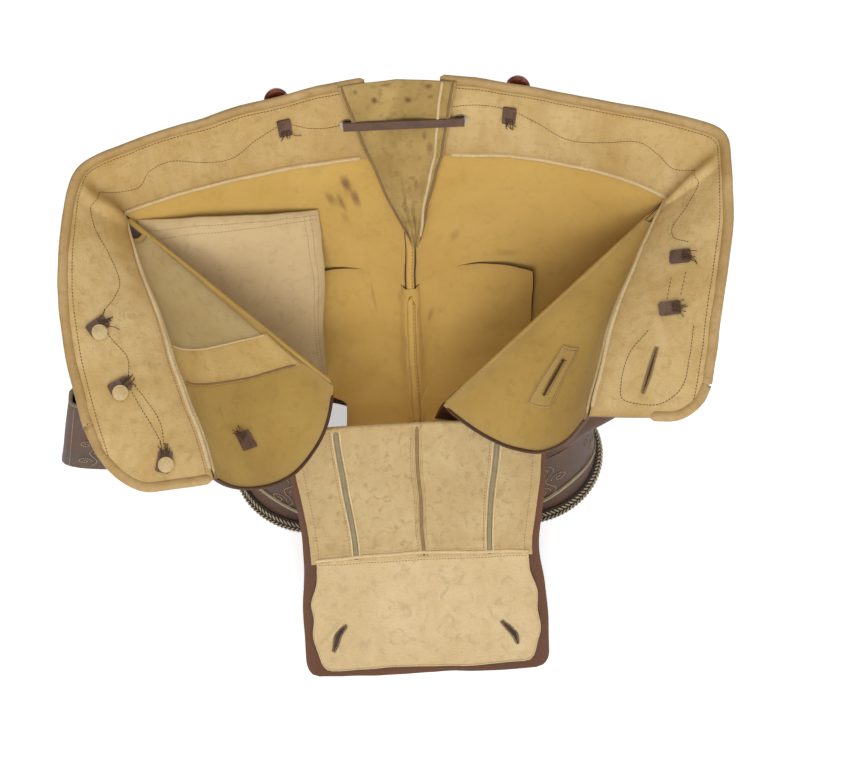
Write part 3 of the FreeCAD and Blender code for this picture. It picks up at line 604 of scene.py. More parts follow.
STRAP = hide("facing_strip", (0.702, 0.498, 0.200), (0.552, 0.360, 0.114), edge=(.42, .25, .08),
             scale=15, contrast=2.4, rough=(.45, .65), bump=.3)
# The streaks given to the lining, the facing, the flap lining and the binding are painted fold shade.
CREAM = hide("cream_lining", (0.621, 0.446, 0.202), (0.504, 0.328, 0.112), edge=(.40, .23, .07),
             scale=15, contrast=3.4, rough=(.34, .6), bump=.4, edge_amount=.75,
             fold_shade_streak=((.44, .27, .085), (0, 0, 0)))
FACE = hide("facing_cream", (0.616, 0.466, 0.252), (0.528, 0.374, 0.168), edge=(.56, .38, .17),
            scale=13, contrast=3.2, rough=(.3, .52), bump=.45, fleck=.6,
            fold_shade_streak=((.50, .33, .14), (0.6, 0, 0)))
UPPER = hide("flap_cream", (0.542, 0.396, 0.193), (0.446, 0.301, 0.123), edge=(.5, .33, .14), scale=18,
             contrast=2.8, rough=(.5, .7), bump=.5, creases=120, fleck=.75,
             fold_shade_streak=((.43, .27, .10), (0.6, 0, 0)))
SUEDE = hide("golden_suede", (0.629, 0.409, 0.118), (0.530, 0.320, 0.072), edge=(.46, .28, .08),
             scale=9, contrast=2.2, rough=(.8, .95), bump=.2, pebble_scale=1500, creases=260, sheen=.12,
             fleck=.25)
BUFF = hide("buff_suede", (0.475, 0.310, 0.081), (0.380, 0.226, 0.050), edge=(.44, .30, .13), scale=12,
            contrast=2.4, rough=(.75, .9), bump=.22, pebble_scale=1300, creases=200, sheen=.1, fleck=.3)
BROWN = hide("brown_outer", (.105, .045, .021), (.048, .020, .009), edge=(.13, .07, .038),
             stain=(.3, .24, .14), scale=22, contrast=2.4, rough=(.42, .6), bump=.35, edge_amount=.35)
ROLL = hide("brown_roll", (.130, .042, .012), (.085, .026, .007), edge=(.15, .075, .035), scale=25,
            contrast=2.0, rough=(.5, .68), bump=.35, edge_amount=.3)
TAN = hide("tan_binding", (0.493, 0.331, 0.141), (0.378, 0.228, 0.075), scale=20, contrast=2.6,
           rough=(.4, .6), bump=.35, fold_shade_streak=((.36, .20, .06), (0, 0, 0)))
WELT = hide("pale_welt", (.680, .530, .300), (.560, .400, .190), scale=40, rough=(.5, .7), bump=.3)
TICKING = hide("gusset_ticking", (0.540, 0.374, 0.135), (0.368, 0.234, 0.070), edge=(.36, .24, .09),
               scale=16, contrast=3.2, rough=(.75, .9), bump=.5, cloth=True, fleck=.7)
LINEN = hide("pocket_linen", (0.793, 0.602, 0.331), (0.661, 0.479, 0.245), edge=(.44, .30, .14),
             scale=12, contrast=2.0, rough=(.8, .95), bump=.5, cloth=True, fleck=.35)
GREY = hide("linen_underside", (0.628, 0.478, 0.237), (0.478, 0.337, 0.137), edge=(.36, .27, .14),
            scale=14, contrast=2.4, rough=(.8, .95), bump=.5, cloth=True, fleck=.4)
HORN = hide("red_horn", (.230, .045, .016), (.070, .014, .008), scale=120, contrast=3.2,
            rough=(.14, .3), bump=.12, pebble_scale=300, creases=60, coat=.35)
LACE = hide("lace_leather", (.150, .085, .058), (.095, .050, .034), scale=60, rough=(.5, .7), bump=.5)
TAB = hide("tab_leather", (.170, .095, .062), (.095, .050, .032), scale=90, contrast=3.0,
           rough=(.5, .72), bump=.6, creases=220)
STRAND = hide("braid_strand", (.520, .450, .300), (.360, .290, .180), scale=150, rough=(.6, .8),
              bump=.4, creases=300)
BACKING = hide("braid_backing", (.060, .035, .024), (.030, .018, .012), scale=60, rough=(.6, .8),
               bump=.5)
PIPING = hide("green_piping", (.300, .245, .140), (.215, .165, .085), scale=60, rough=(.5, .7),
              bump=.35)
DARK = hide("dark_thread", (.120, .062, .026), (.070, .034, .015), scale=200, rough=(.6, .8), bump=.3,
            creases=900)
PALE = hide("pale_thread", (.620, .500, .290), (.480, .360, .180), scale=200, rough=(.6, .8), bump=.3,
            creases=900)
MID = hide("brown_thread", (.300, .190, .080), (.210, .120, .045), scale=200, rough=(.6, .8), bump=.3,
           creases=900)
STEEL = hide("worn_steel", (.560, .540, .500), (.300, .270, .230), scale=250, contrast=3,
             rough=(.25, .5), bump=.15, pebble_scale=900)
STEEL.node_tree.nodes["Principled BSDF"].inputs["Metallic"].default_value = 1.0
print("finishes", len(bpy.data.materials))

# %% [markdown]
# The body of each leg is one wide hide from the centre-back seam to the front slit, golden
# suede inside and brown outside. The old stains are marked on the sheet by place.

# %% Body shells and fold rolls
STAINS = {LEFT: [(.109, .90, .007, .028, .8), (.102, .84, .006, .030, .7), (.149, .84, .005, .024, .6),
                 (.133, .82, .005, .030, .6), (.142, .75, .004, .020, .35),
                 (.228, .285, .010, .022, .7), (.126, .36, .004, .05, .3), (.03, .42, .004, .02, .3)],
          RIGHT: [(.10, .64, .007, .02, .35), (.21, .52, .02, .012, .25), (.06, .30, .008, .02, .4)]}
shells = {}
for side in (RIGHT, LEFT):
    w = WORD[side]
    U, V = grid(150, 64, (0, .985), (0, 1.008))
    mark = spots(U, V, STAINS[side], 1.6)
    if side == LEFT:                      # the left front is cut away below its fold
        U = U * (1 - .16 * np.clip((.95 - V) / .25, 0, 1))
    s = shells[side] = sheet("body_" + w, body_shell(side, U, V), side, 2.6, (SUEDE, BROWN), stain=mark)
    goes(s["obj"], "root", ("seat_" + w, "hip_" + w, "front_" + w))
    t = np.linspace(0.03, .985, 40)
    line = world(flip(fold_line(side, t), side))
    goes(tube("fold_roll_" + w, line, np.tile((0, 0, 1.0), (40, 1)), 2.4, 2.4, BUFF), "root",
         ("front_fold_" + w,))
U, V = grid(24, 10, (-1, 1), (0, 1))
rise = sheet("rise_panel", front_rise(U, V), -1, 2.6, (SUEDE, BROWN))
goes(rise["obj"], "root", ("front_rise",))

SADDLE_ARCH, SADDLE_FOLDS = 14, 2.5
U, V = grid(90, 60, (-1, 1), (0, 1))
wide = np.where(U < 0, 60 + 46 * ease((.70 - V) / .14), 66 + 40 * ease((.72 - V) / .14))
X = U * wide
ring = np.degrees(np.arccos(np.clip((THIGH["across"] - np.abs(X) * .93) / THIGH["wide"], -1, 1)))
hug = np.clip(V / .42, 0, 1)
back = body_shell(RIGHT, ring / BODY_TURN, .44 * (1 - hug) + .03) + np.array((0, -2.2, 1.4))
back[..., 0] = X
go_on = np.clip((V - .36) / .64, 0, 1)
front = np.stack((X, np.full_like(U, -41.5), np.full_like(U, 131.0)), -1)
P = between(back, front, go_on)
bridge = np.sin(np.pi * go_on)
P[..., 2] -= SADDLE_ARCH * bridge * (1 - .3 * np.cos(X / 22)) + SADDLE_FOLDS * np.sin(V * 12
    + X * .05) * bridge
saddle = sheet("seat_saddle", P, -1, 2.4, (SUEDE, BROWN), strength=1.5)
goes(saddle["obj"], "root", ("crotch_gusset",))
p, n = on(shells[RIGHT], np.full(60, 0.0), np.linspace(.40, .985, 60))
q, _ = on(shells[LEFT], np.full(60, 0.0), np.linspace(.40, .985, 60))
low, _ = on(saddle, np.full(30, .5), np.linspace(.95, .04, 30), lift=.3)
mid = np.concatenate((low, (p + q) / 2))
goes(tube("seat_seam_ridge", mid, np.tile((0, -.8, .6), (90, 1)), 3.6, 2.2, SUEDE), "root",
     ("seat_seam",))
goes(stitches("seat_seam_sewing", mid + np.array((.0016, -.0016, .0012)),
              np.tile((0, -.8, .6), (90, 1)), MID, 3.4, 2.2, .6), "root")

# %% [markdown]
# The waistband is the piece the eye meets first. It goes round the corner in one sheet. The
# corner is softened most at the rim, where the hide is rolled, and a small tuck stands up
# where the opened front has been folded over.

# %% Waistbands
EDGE = {RIGHT: dict(turn=.30, deep=.105), LEFT: dict(turn=.42, deep=.17)}


def band_points(side, S, V):
    e = EDGE[side]
    over = np.clip((V - (1 - e["turn"])) / e["turn"], 0, 1)
    end = 2 - e["deep"] * (1 - np.sqrt(1 - over ** 2))
    s = .11 + S * (end - .11)
    P = band(side, s, -.004 + .997 * V)
    n = P.shape[0]
    k = int(round((1 - .11) / 1.89 * (n - 1)))
    soft = P.copy()
    for i in range(max(1, k - 26), min(n - 1, k + 27)):
        for j in range(P.shape[1]):
            reach = int(2 + 11 * V[0, j] ** 1.5)
            a, b = max(0, i - reach), min(n - 1, i + reach)
            wgt = np.hanning(b - a + 3)[1:-1]
            soft[i, j] = (P[a:b + 1, j] * wgt[:, None]).sum(0) / wgt.sum()
    inward = np.array((-side * .75, -.45, .35))
    tuck = np.exp(-((s - 1.035 - .05 * V) / .028) ** 2) * np.sin(np.pi * np.clip(V * 1.08, 0,
        1)) ** .7 * (1 - V * .35)
    return soft + inward * (tuck * (9 if side == RIGHT else 11))[..., None]


BEND = {side: ("root", WORD[side] + "_wing", world((side * 230, 110, 300)),
               world((side * 235, 60, 290))) for side in (RIGHT, LEFT)}
bands = {}
for side in (RIGHT, LEFT):
    w = WORD[side]
    U, V = grid(250, 30)
    bands[side] = s = sheet("waistband_" + w, band_points(side, U, V), side, 3.2, (CREAM, BROWN))
    goes(s["obj"], BEND[side],
         tuple(f"{part}_{kind}_{w}" for part in ("back_band", "wing_band")
               for kind in ("outer", "lining")))

    t = np.linspace(0, 1, 260)
    path, n = on(s, t, np.ones(260), face="top")
    low, _ = on(s, t, np.ones(260), face="low")
    below, _ = on(s, t, np.full(260, .965))
    centre = (path + low) / 2
    drop = unit(below - path)
    e = np.linspace(1, .02 if side == LEFT else .55, 50)      # the binding goes on round the wing's end
    a, an = on(s, np.ones(50), e)
    b, _ = on(s, np.ones(50), e, face="low")
    back, _ = on(s, np.full(50, .99), e)
    centre, n = np.concatenate((centre, (a + b) / 2)), np.concatenate((n, an))
    drop = np.concatenate((drop, unit(back - a)))
    goes(tube("waist_binding_" + w, centre + drop * .0016, n, 4.3, 3.0, TAN, around=14), BEND[side],
         ("back_binding_" + w, "wing_binding_" + w))

    p, n = on(s, t, np.full(260, .905))
    goes(stitches("rim_sewing_" + w, p, n, DARK, 2.6, 2.0, .62), BEND[side])
    u = np.linspace(.02, .985, 240)
    p, n = on(s, u, np.full(240, .012))
    goes(tube("seam_welt_" + w, p, n, 1.7, 1.3, WELT, around=8), BEND[side])
    p, n = on(s, u, np.full(240, .055))
    goes(stitches("seam_sewing_" + w, p, n, MID if side == LEFT else PALE, 2.4, 1.8, .55), BEND[side])
print("bands done")

# %% [markdown]
# A single wandering line of dark thread holds lining and outside together. It swings from
# near the rim to near the seam, goes round the corner and loops about the buttons.

# %% Wandering sewing and button loops
def wander(side, knots, name, pitch=2.5):
    k = np.array(knots, float)
    run = np.concatenate(((0,), np.cumsum(np.hypot(np.diff(k[:, 0]) * 6, np.diff(k[:, 1])))))
    t = np.linspace(0, run[-1], 240)
    out = []
    for c in (0, 1):
        d = np.gradient(k[:, c], run)
        i = np.clip(np.searchsorted(run, t, side="right") - 1, 0, len(run) - 2)
        h = run[i + 1] - run[i]
        x = (t - run[i]) / h
        out.append((2 * x ** 3 - 3 * x ** 2 + 1) * k[i, c] + (x ** 3 - 2 * x ** 2 + x) * h * d[i]
                   + (3 * x ** 2 - 2 * x ** 3) * k[i + 1, c] + (x ** 3 - x ** 2) * h * d[i + 1])
    p, n = on(bands[side], out[0], out[1])
    return goes(stitches(name, p, n, DARK, pitch, 2.1, .6), BEND[side])


wander(RIGHT, [(.0, .62), (.045, .70), (.10, .71), (.16, .57), (.22, .42), (.28, .47), (.33, .58),
               (.38, .49), (.43, .38), (.47, .46), (.505, .60),
               (.535, .60), (.565, .50), (.60, .36), (.635, .42), (.665, .60)], "wander_right")
wander(RIGHT, [(.735, .50), (.775, .50)], "loop_right_a")
wander(RIGHT, [(.735, .64), (.775, .63)], "loop_right_b")
wander(RIGHT, [(.835, .38), (.87, .26), (.93, .22), (.965, .27), (.975, .42), (.975, .62), (.955, .76),
               (.90, .80), (.85, .80)], "loop_right_slit")
wander(LEFT, [(.0, .62), (.05, .50), (.09, .52), (.13, .66), (.18, .54), (.23, .38), (.28, .42),
              (.33, .56), (.37, .52), (.41, .34), (.455, .42),
              (.49, .62), (.52, .72), (.56, .66), (.60, .45), (.645, .36), (.685, .47), (.73, .62),
              (.76, .60), (.79, .46), (.83, .50)], "wander_left")
wander(LEFT, [(.83, .50), (.86, .40), (.90, .33), (.94, .36)], "loop_left_a")
wander(LEFT, [(.83, .54), (.88, .46), (.93, .38)], "loop_left_b")

# %% [markdown]
# Each button is sewn through to a small tab on the inside. The thread ends were never cut
# short, and on the opened front a pale washer of hide shows beside the tab.

# %% Washers and thread ends on the tabs
SPOTS = {"back_right": "patch_back_right", "back_left": "patch_back_left",
         "wing_right_a": "patch_wing_right_a",
         "wing_right_b": "patch_wing_right_b", "wing_left_a": "patch_wing_left_a",
         "wing_left_b": "patch_wing_left_b",
         "wing_left_c": "patch_wing_left_c", "lap_left": "patch_underlap_left"}


def flat_facts(n):
    me = frame["nodes"][n].data
    co = np.array([v.co[:] for v in me.vertices])
    c = co.mean(0)
    w, vec = np.linalg.eigh(np.cov((co - c).T))
    normal, long = vec[:, 0], vec[:, 2]
    eye = np.array((0.0, -.5, .9))
    normal = normal * np.sign(normal @ eye)
    return c, normal, long, ((co - c) @ normal).max()


rng = np.random.default_rng(7)
for key, n in SPOTS.items():
    c, up, long, high = flat_facts(n)
    short = np.cross(up, long)
    body = "root" if "back" in key else ("right_wing" if "right" in key else "left_wing")
    if "wing_left" in key:
        deselect()
        bpy.ops.mesh.primitive_cylinder_add(vertices=28, radius=.0062, depth=.0011)
        o = bpy.context.object
        o.name = "washer_" + key
        bpy.ops.object.mode_set(mode="EDIT")
        bpy.ops.mesh.select_all(action="SELECT")
        bpy.ops.mesh.bevel(offset=.0004, segments=2)
        bpy.ops.object.mode_set(mode="OBJECT")
        m = Matrix((short, long, up)).transposed().to_4x4()
        m.translation = Vector(c + up * (high + .0007) + short * (.0045 if key[-1] != "c" else .002)
                               + long * .0022)
        o.data.transform(m)
        o.data.materials.append(FACE)
        bpy.ops.object.shade_smooth_by_angle(angle=.6)
        goes(o, body)
    verts, faces = [], []
    for k in range(7):
        a = (k - 3) * .0011 + rng.normal(0, .0003)
        reach = .0075 + rng.uniform(0, .005)
        bow = rng.normal(0, .0022)
        pts = np.array([c + up * (high + .0006) + short * a - long * (.002),
                        c + up * (high + .0010) + short * (a + bow * .3) - long * (.006),
                        c + up * (high * .3 + .0004) + short * (a + bow) - long * reach,
                        c + up * (high * .2 - .0002) + short * (a + bow * 1.8) - long * (reach + .002)])
        pts, _ = resample(pts, 7)
        t = unit(np.gradient(pts, axis=0))
        s = np.cross(t, up)
        base = len(verts)
        for i, q in enumerate(pts):
            for j in range(4):
                ang = j * math.pi / 2
                verts.append(q + (s[i] * math.cos(ang) + up * math.sin(ang)) * .00032)
        for i in range(len(pts) - 1):
            for j in range(4):
                a0, b0 = base + i * 4, base + (i + 1) * 4
                faces.append([a0 + j, a0 + (j + 1) % 4, b0 + (j + 1) % 4, b0 + j])
    goes(mesh_piece("thread_ends_" + key, verts, faces, DARK), body)
print("tabs dressed", len(SPOTS))

# %% [markdown]
# The underlaps are the soft front panels that fold out with the wings. Their free edges are
# raw, so the brown outside shows as a thin dark line.

# %% Underlaps
laps = {}
for side in (RIGHT, LEFT):
    w = WORD[side]
    U, V = grid(76, 90, (.10, .992), (.004, .99))
    s = laps[side] = sheet("underlap_panel_" + w, lapel(side, U, V), -side, 2.6, (BUFF, BROWN))
    goes(s["obj"], w + "_wing", ("underlap_" + w,))
    v = np.linspace(.03, .97, 80)
    p, n = on(s, np.full(80, .999), v)
    goes(tube("underlap_edge_" + w, p, n, 1.5, 1.5, BROWN, around=8), w + "_wing")
    u = np.linspace(.1, .985, 70)
    p, n = on(s, u, np.full(70, .012))
    goes(tube("front_welt_" + w, p, n, 1.8, 1.4, WELT, around=8), w + "_wing")
    p, n = on(s, u, np.full(70, .035))
    goes(stitches("front_sewing_" + w, p, n, MID, 2.6, 1.9, .55), w + "_wing")

# %% [markdown]
# On the left the underlap carries a pale facing, and above it the grey underside of the
# pocket cloth shows. The pocket bag itself hangs from the waist seam with two rows of sewing.

# %% Facing, pocket bag and its sewing
def cut_at(seam_at, fold_at, down):
    """How far along the left lapel a straight edge from its seam to its fold crosses it."""
    c = own("corner", LEFT)[:2]
    e = arc3(own("wing_end", LEFT), own("lapel_ease", LEFT), own("lapel_ease_b", LEFT),
             own("slit_end", LEFT), down)[..., :2]
    a, b = band_seam(LEFT, 1 + seam_at)[:2], fold_line(LEFT, fold_at)[:2]
    d = b - a
    return ((a - c)[0] * d[1] - (a - c)[1] * d[0]) / ((e - c)[..., 0] * d[1] - (e - c)[..., 1] * d[0])


U, V = grid(40, 60, (0, 1), (.03, .95))
s = sheet("pocket_underside", lapel(LEFT, .12 + U * (cut_at(.53, .70, V) - .12), V), RIGHT, .9,
          (GREY, GREY), lift=2.1)
goes(s["obj"], "left_wing")
U, V = grid(24, 60, (0, 1), (.03, .975))
near, far = cut_at(.52, .69, V), cut_at(.66, .87, V)
face = sheet("underlap_facing_left", lapel(LEFT, near + U * (far - near), V), RIGHT, 1.1,
             (STRAP, STRAP), lift=2.4)
goes(face["obj"], "left_wing")
for where, u in (("top", .03), ("low", .97)):
    p, n = on(face, np.full(50, u), np.linspace(.02, .98, 50))
    goes(tube("facing_edge_" + where, p, n, .9, .7, WELT if where == "top" else MID, around=6),
         "left_wing")


def off_wall(around, up, lift):
    a = np.array([[around]])
    b = np.array([[up]])
    p = body_shell(LEFT, a, b)[0, 0]
    du = body_shell(LEFT, a + .004, b)[0, 0] - body_shell(LEFT, a - .004, b)[0, 0]
    dv = body_shell(LEFT, a, b + .004)[0, 0] - body_shell(LEFT, a, b - .004)[0, 0]
    n = np.cross(du, dv)
    return p - n / np.linalg.norm(n) * lift


U, V = grid(60, 60)
edges = []
for top, mid_, low_ in ((off_wall(.165, .80, 3.0), MARK["bag_mid_in"], MARK["bag_low_in"]),
                        (off_wall(.475, .955, 3.0), MARK["bag_mid_out"], MARK["bag_low_out"])):
    d = V[..., None]
    edges.append(top * (1 - d) ** 2 + (mid_ * 4 - top - low_) * (d * (1 - d)) + low_ * d ** 2)
bag = sheet("pocket_bag_cloth", edges[0] * (1 - U[..., None]) + edges[1] * U[..., None], 1, .9,
            (LINEN, GREY), strength=1.3)
goes(bag["obj"], "root", ("pocket_bag",))
for tag, line in (("top_a", [(.02, .045), (.98, .045)]), ("top_b", [(.02, .085), (.98, .085)]),
                  ("side_a", [(.05, .03), (.05, .97)]), ("side_b", [(.085, .05), (.085, .97)])):
    a = np.array(line)
    t = np.linspace(0, 1, 60)[:, None]
    q = a[0] * (1 - t) + a[1] * t
    p, n = on(bag, q[:, 0], q[:, 1])
    goes(stitches("bag_sewing_" + tag, p, n, MID, 2.7, 1.9, .45), "root")

# %% [markdown]
# A wedge of striped old cloth lets the back out. Its lower half is pushed into soft pleats.

# %% Back gusset
U, V = grid(60, 150, (-1, 1), (0, 1))
P = v_gusset(U, V)
broad = 2.6 * np.sin(U * 5.2 + V * 9 + 1.2) * np.clip((V - .12) / .3, 0, 1) * (1 - np.abs(U) ** 3)
fine = 1.6 * np.sin(U * 11 - V * 6) * np.clip((V - .35) / .3, 0, 1) * (1 - np.abs(U) ** 2)
pleat = broad + fine
P[..., 1] -= 2.2 + np.maximum(pleat, -1.4) * .8
P[..., 2] += .8
GUSSET_STAINS = [(.55, .03, .05, .012, .8), (-.45, .10, .05, .016, .9), (.18, .115, .06, .016, .9),
                 (-.75, .04, .03, .01, .7), (.6, .09, .05, .01, .6),
                        (.62, .40, .07, .03, .5), (.5, .33, .04, .02, .6), (-.2, .02, .1, .008, .6),
                        (.3, .6, .05, .02, .4)]
mark = spots(U, V, GUSSET_STAINS, 1.5)
gusset = sheet("gusset_cloth", P, -1, 1.2, (TICKING, TICKING), stain=mark, strength=1.2)
goes(gusset["obj"], "root", ("back_gusset",))
for tag, u in (("left", .03), ("right", .97)):
    p, n = on(gusset, np.full(80, u), np.linspace(.0, .97, 80))
    goes(tube("gusset_edge_" + tag, p, n, 1.0, .9, MID, around=6), "root")
p, n = on(gusset, np.full(80, .88), np.linspace(.0, .93, 80))
goes(tube("gusset_welt", p, n, 1.4, 1.2, WELT, around=6), "root")

# %% [markdown]
# The drop front is a brown hide lined with cream. The upper lining is four strips with open
# seams between them, then a double-sewn seam, then a smooth facing with two buttonholes. The
# brown outside is rolled over the sides and the bottom.

# %% Flap
def rounded(U, V, corner=.075, sides=.94):
    """Across and down values whose two far corners are rounded."""
    over = np.clip((V - (1 - corner)) / corner, 0, 1)
    return U * (sides - .11 * (1 - np.sqrt(np.maximum(0, 1 - over ** 2))))


U, V = grid(70, 90, (-1, 1), (.018, 1))
outer = sheet("flap_hide", front_flap(rounded(U, V, sides=1.0), V), -1, 1.8, (ROLL, BROWN), lift=-.9)
goes(outer["obj"], "front_flap", ("flap_outer",))

U, V = grid(80, 60, (-1, 1), (.0, .515))
width = .965 - .06 * V
lining = sheet("flap_upper_lining", front_flap(U * width, V), -1, 1.5, (UPPER, UPPER), lift=1.1)
goes(lining["obj"], "front_flap", ("flap_lining",))

U, V = grid(90, 70, (-1, 1), (.505, .968))
wave = 1 + .012 * np.sin(V * 40) - .02 * np.clip((V - .9) / .07, 0, 1)
side_gap = np.where(U < 0, .875 + .05 * np.sin((V - .5) * 6.4),
                    .885 + .035 * np.sin((V - .5) * 6.0)) * wave
over = np.clip((V - .90) / .07, 0, 1)
side_gap = side_gap - .07 * (1 - np.sqrt(np.maximum(0, 1 - over ** 2)))
down = V + .006 * np.sin(U * 5) * np.clip((V - .8) / .1, 0, 1)
P = front_flap(U * side_gap, down)
for across, turn in ((-.76, 42), (.72, -42)):      # lips of the buttonholes stand up a little
    c = front_flap(np.array([across]), np.array([.84]))[0]
    d = P - c
    a = math.radians(turn)
    along = d[..., 0] * math.cos(a) + d[..., 1] * math.sin(a)
    off = d[..., 0] * math.sin(a) - d[..., 1] * math.cos(a)
    P[..., 2] += 1.5 * np.exp(-(along / 13) ** 4) * np.exp(-((np.abs(off) - 2.6) / 2.0) ** 2)
facing = sheet("flap_facing_panel", P, -1, 1.5, (FACE, FACE), lift=1.1)
goes(facing["obj"], "front_flap", ("flap_facing",))
across = np.linspace(-1, 1, 40)
line = world(MARK["flap_fold"] + np.stack((across * 108, -FLAP_BOW * across ** 2,
                                           -FLAP_BOW * across ** 2), -1))
goes(tube("flap_roll", line, np.tile((0, 0, 1.0), (40, 1)), 2.6, 2.6, UPPER), "root",
     ("flap_fold",))

# %% [markdown]
# Seams on the lining are open: two edges stand up beside a greenish groove. A groove is a
# narrow strip, its edges are two thin welts, and the rows of sewing run beside them.

# %% Seams, sewing and buttonholes of the flap
def on_flap(u, v, s=lining, lift=0.0):
    return on(s, (np.asarray(u) + 1) / 2, v, lift)


def strip(name, u0, u1, half, v0, v1, finish, s=lining, lift=.3):
    k = 70
    t = np.linspace(0, 1, k)
    u, v = u0 + (u1 - u0) * t, v0 + (v1 - v0) * t
    p, n = on_flap(u, v, s, lift)
    return goes(tube(name, p, n, half, .45, finish, around=8), "front_flap")


for tag, u0, u1 in (("left", -.640, -.600), ("centre", .0, .01), ("right", .640, .600)):
    strip("flap_groove_" + tag, u0, u1, 2.1 if tag != "centre" else 1.5, .01, .985, PIPING
          if tag != "centre" else MID, lift=.05)
    for edge_, off in (("a", -.032), ("b", .032)):
        strip(f"flap_seam_{tag}_{edge_}", u0 + off, u1 + off, .8, .01, .985, WELT if tag != "centre"
              else UPPER)
    p, n = on_flap(np.linspace(u0, u1, 70) - .055, np.linspace(.02, .98, 70))
    goes(stitches("flap_seam_sewing_" + tag, p, n, MID, 2.8, 1.9, .45), "front_flap")
for tag, u in (("left", -.93), ("right", .93)):
    p, n = on_flap(np.full(70, u), np.linspace(.02, .97, 70))
    goes(stitches("flap_side_sewing_" + tag, p, n, MID, 2.8, 1.9, .5), "front_flap")
u = np.linspace(-.97, .97, 80)
p, n = on_flap(u, .975 - .02 * np.cos(u * 1.6))
goes(tube("flap_cross_welt", p, n, 1.6, 1.3, WELT, around=8), "front_flap")
for k, v in enumerate((.93, .035)):
    p, n = on_flap(u, np.full(80, v), lining if k == 0 else facing)
    goes(stitches(f"flap_cross_sewing_{k}", p, n, MID if k else PALE, 2.6, 1.8, .5), "front_flap")
out = np.array([(-1, t) for t in np.linspace(.05, .97, 40)] + [(t, 1)
    for t in np.linspace(-.97, .97, 50)]
               + [(1, t) for t in np.linspace(.97, .05, 40)])
p, n = on_flap(out[:, 0] * .995, out[:, 1], facing)
goes(tube("facing_border", p, n, .7, .6, PALE, around=6), "front_flap")


def buttonhole(name, sheet_, ends, body, wide=2.0, thread=DARK, lift=.5, reach=.0009):
    """A cut with worked edges: a dark lens and a ring of short stitches round it."""
    k = 24
    t = np.linspace(0, 1, k)
    (u0, v0), (u1, v1) = ends
    mid_, n = on(sheet_, u0 + (u1 - u0) * t, v0 + (v1 - v0) * t, lift=lift)
    d = unit(np.gradient(mid_, axis=0))
    s = np.cross(n, d)
    half = (np.sin(np.pi * np.clip(t, .02, .98)) * wide / 1000)[:, None]
    verts = np.concatenate((mid_ + s * half, (mid_ - s * half), mid_ + s * half - n * .0006,
                            mid_ - s * half - n * .0006))
    faces = []
    for i in range(k - 1):
        a, b = i, k + i
        faces += [[b, b + 1, a + 1, a], [2 * k + a, 2 * k + a + 1, 2 * k + b + 1, 2 * k + b],
                  [a, a + 1, 2 * k + a + 1, 2 * k + a], [b + 1, b, 2 * k + b, 2 * k + b + 1]]
    faces += [[k, 0, 2 * k, 3 * k], [k - 1, 2 * k - 1, 4 * k - 1, 3 * k - 1]]
    goes(mesh_piece(name + "_cut", verts, faces, BACKING, smooth=False), body)
    rim_ = np.concatenate((mid_ + s * (half + reach), (mid_ - s * (half + reach))[::-1]))
    goes(stitches(name + "_worked", rim_, np.concatenate((n, n[::-1])), thread, .75, 1.9, .5,
                  slant=math.pi / 2), body)


for word, ends in (("left", ((.072, .83), (.148, .60))), ("right", ((.838, .60), (.915, .83)))):
    buttonhole("flap_buttonhole_" + word, facing, ends, "front_flap", 1.7, TAB, lift=.9)
buttonhole("wing_buttonhole", bands[RIGHT], ((.872, .50), (.955, .44)), "right_wing", .8, MID)
U, V = grid(16, 16, (.60, .83), (.405, .595))
tabp = sheet("underlap_buttonhole_patch", lapel(RIGHT, U, V), LEFT, 1.1, (BUFF, BUFF), lift=2.1)
goes(tabp["obj"], "right_wing", ("patch_underlap_right",))
corners = np.array([(0.04, .05), (.96, .05), (.96, .95), (.04, .95), (.04, .05)])
box_ = np.concatenate([np.linspace(corners[i], corners[i + 1], 16)[:-1] for i in range(4)])
p, n = on(tabp, box_[:, 0], box_[:, 1])
goes(stitches("underlap_patch_sewing", p, n, DARK, 2.4, 2.0, .45), "right_wing")
buttonhole("underlap_buttonhole", tabp, ((.2, .5), (.8, .5)), "right_wing", .35, DARK, reach=.0006)
q = box_ * np.array((.62, .34)) + np.array((.19, .33))
p, n = on(tabp, q[:, 0], q[:, 1])
goes(stitches("underlap_patch_inner", p, n, DARK, 2.4, 2.0, .4), "right_wing")

# %% [markdown]
# Short legs stand under the body. Outside they are brown with a scroll of pale embroidery and
# a green piping, and a plaited braid goes round each hem.

# %% Legs, braid and piping
LEG_TOP = CROTCH - .3
BRAID_UP, BRAID_FLARE = .105, 4.5      # share of the leg that the braid covers, and its flare


def leg_wall(side, turn, up):
    """turn in radians, up 0 at the hem and 1 at the crotch."""
    across, wide, deep, back = (HEM[k] + (THIGH[k] - HEM[k]) * up
                                for k in ("across", "wide", "deep", "back"))
    return np.stack((side * across + wide * np.cos(turn), back + deep * np.sin(turn), LEG_TOP * up), -1)


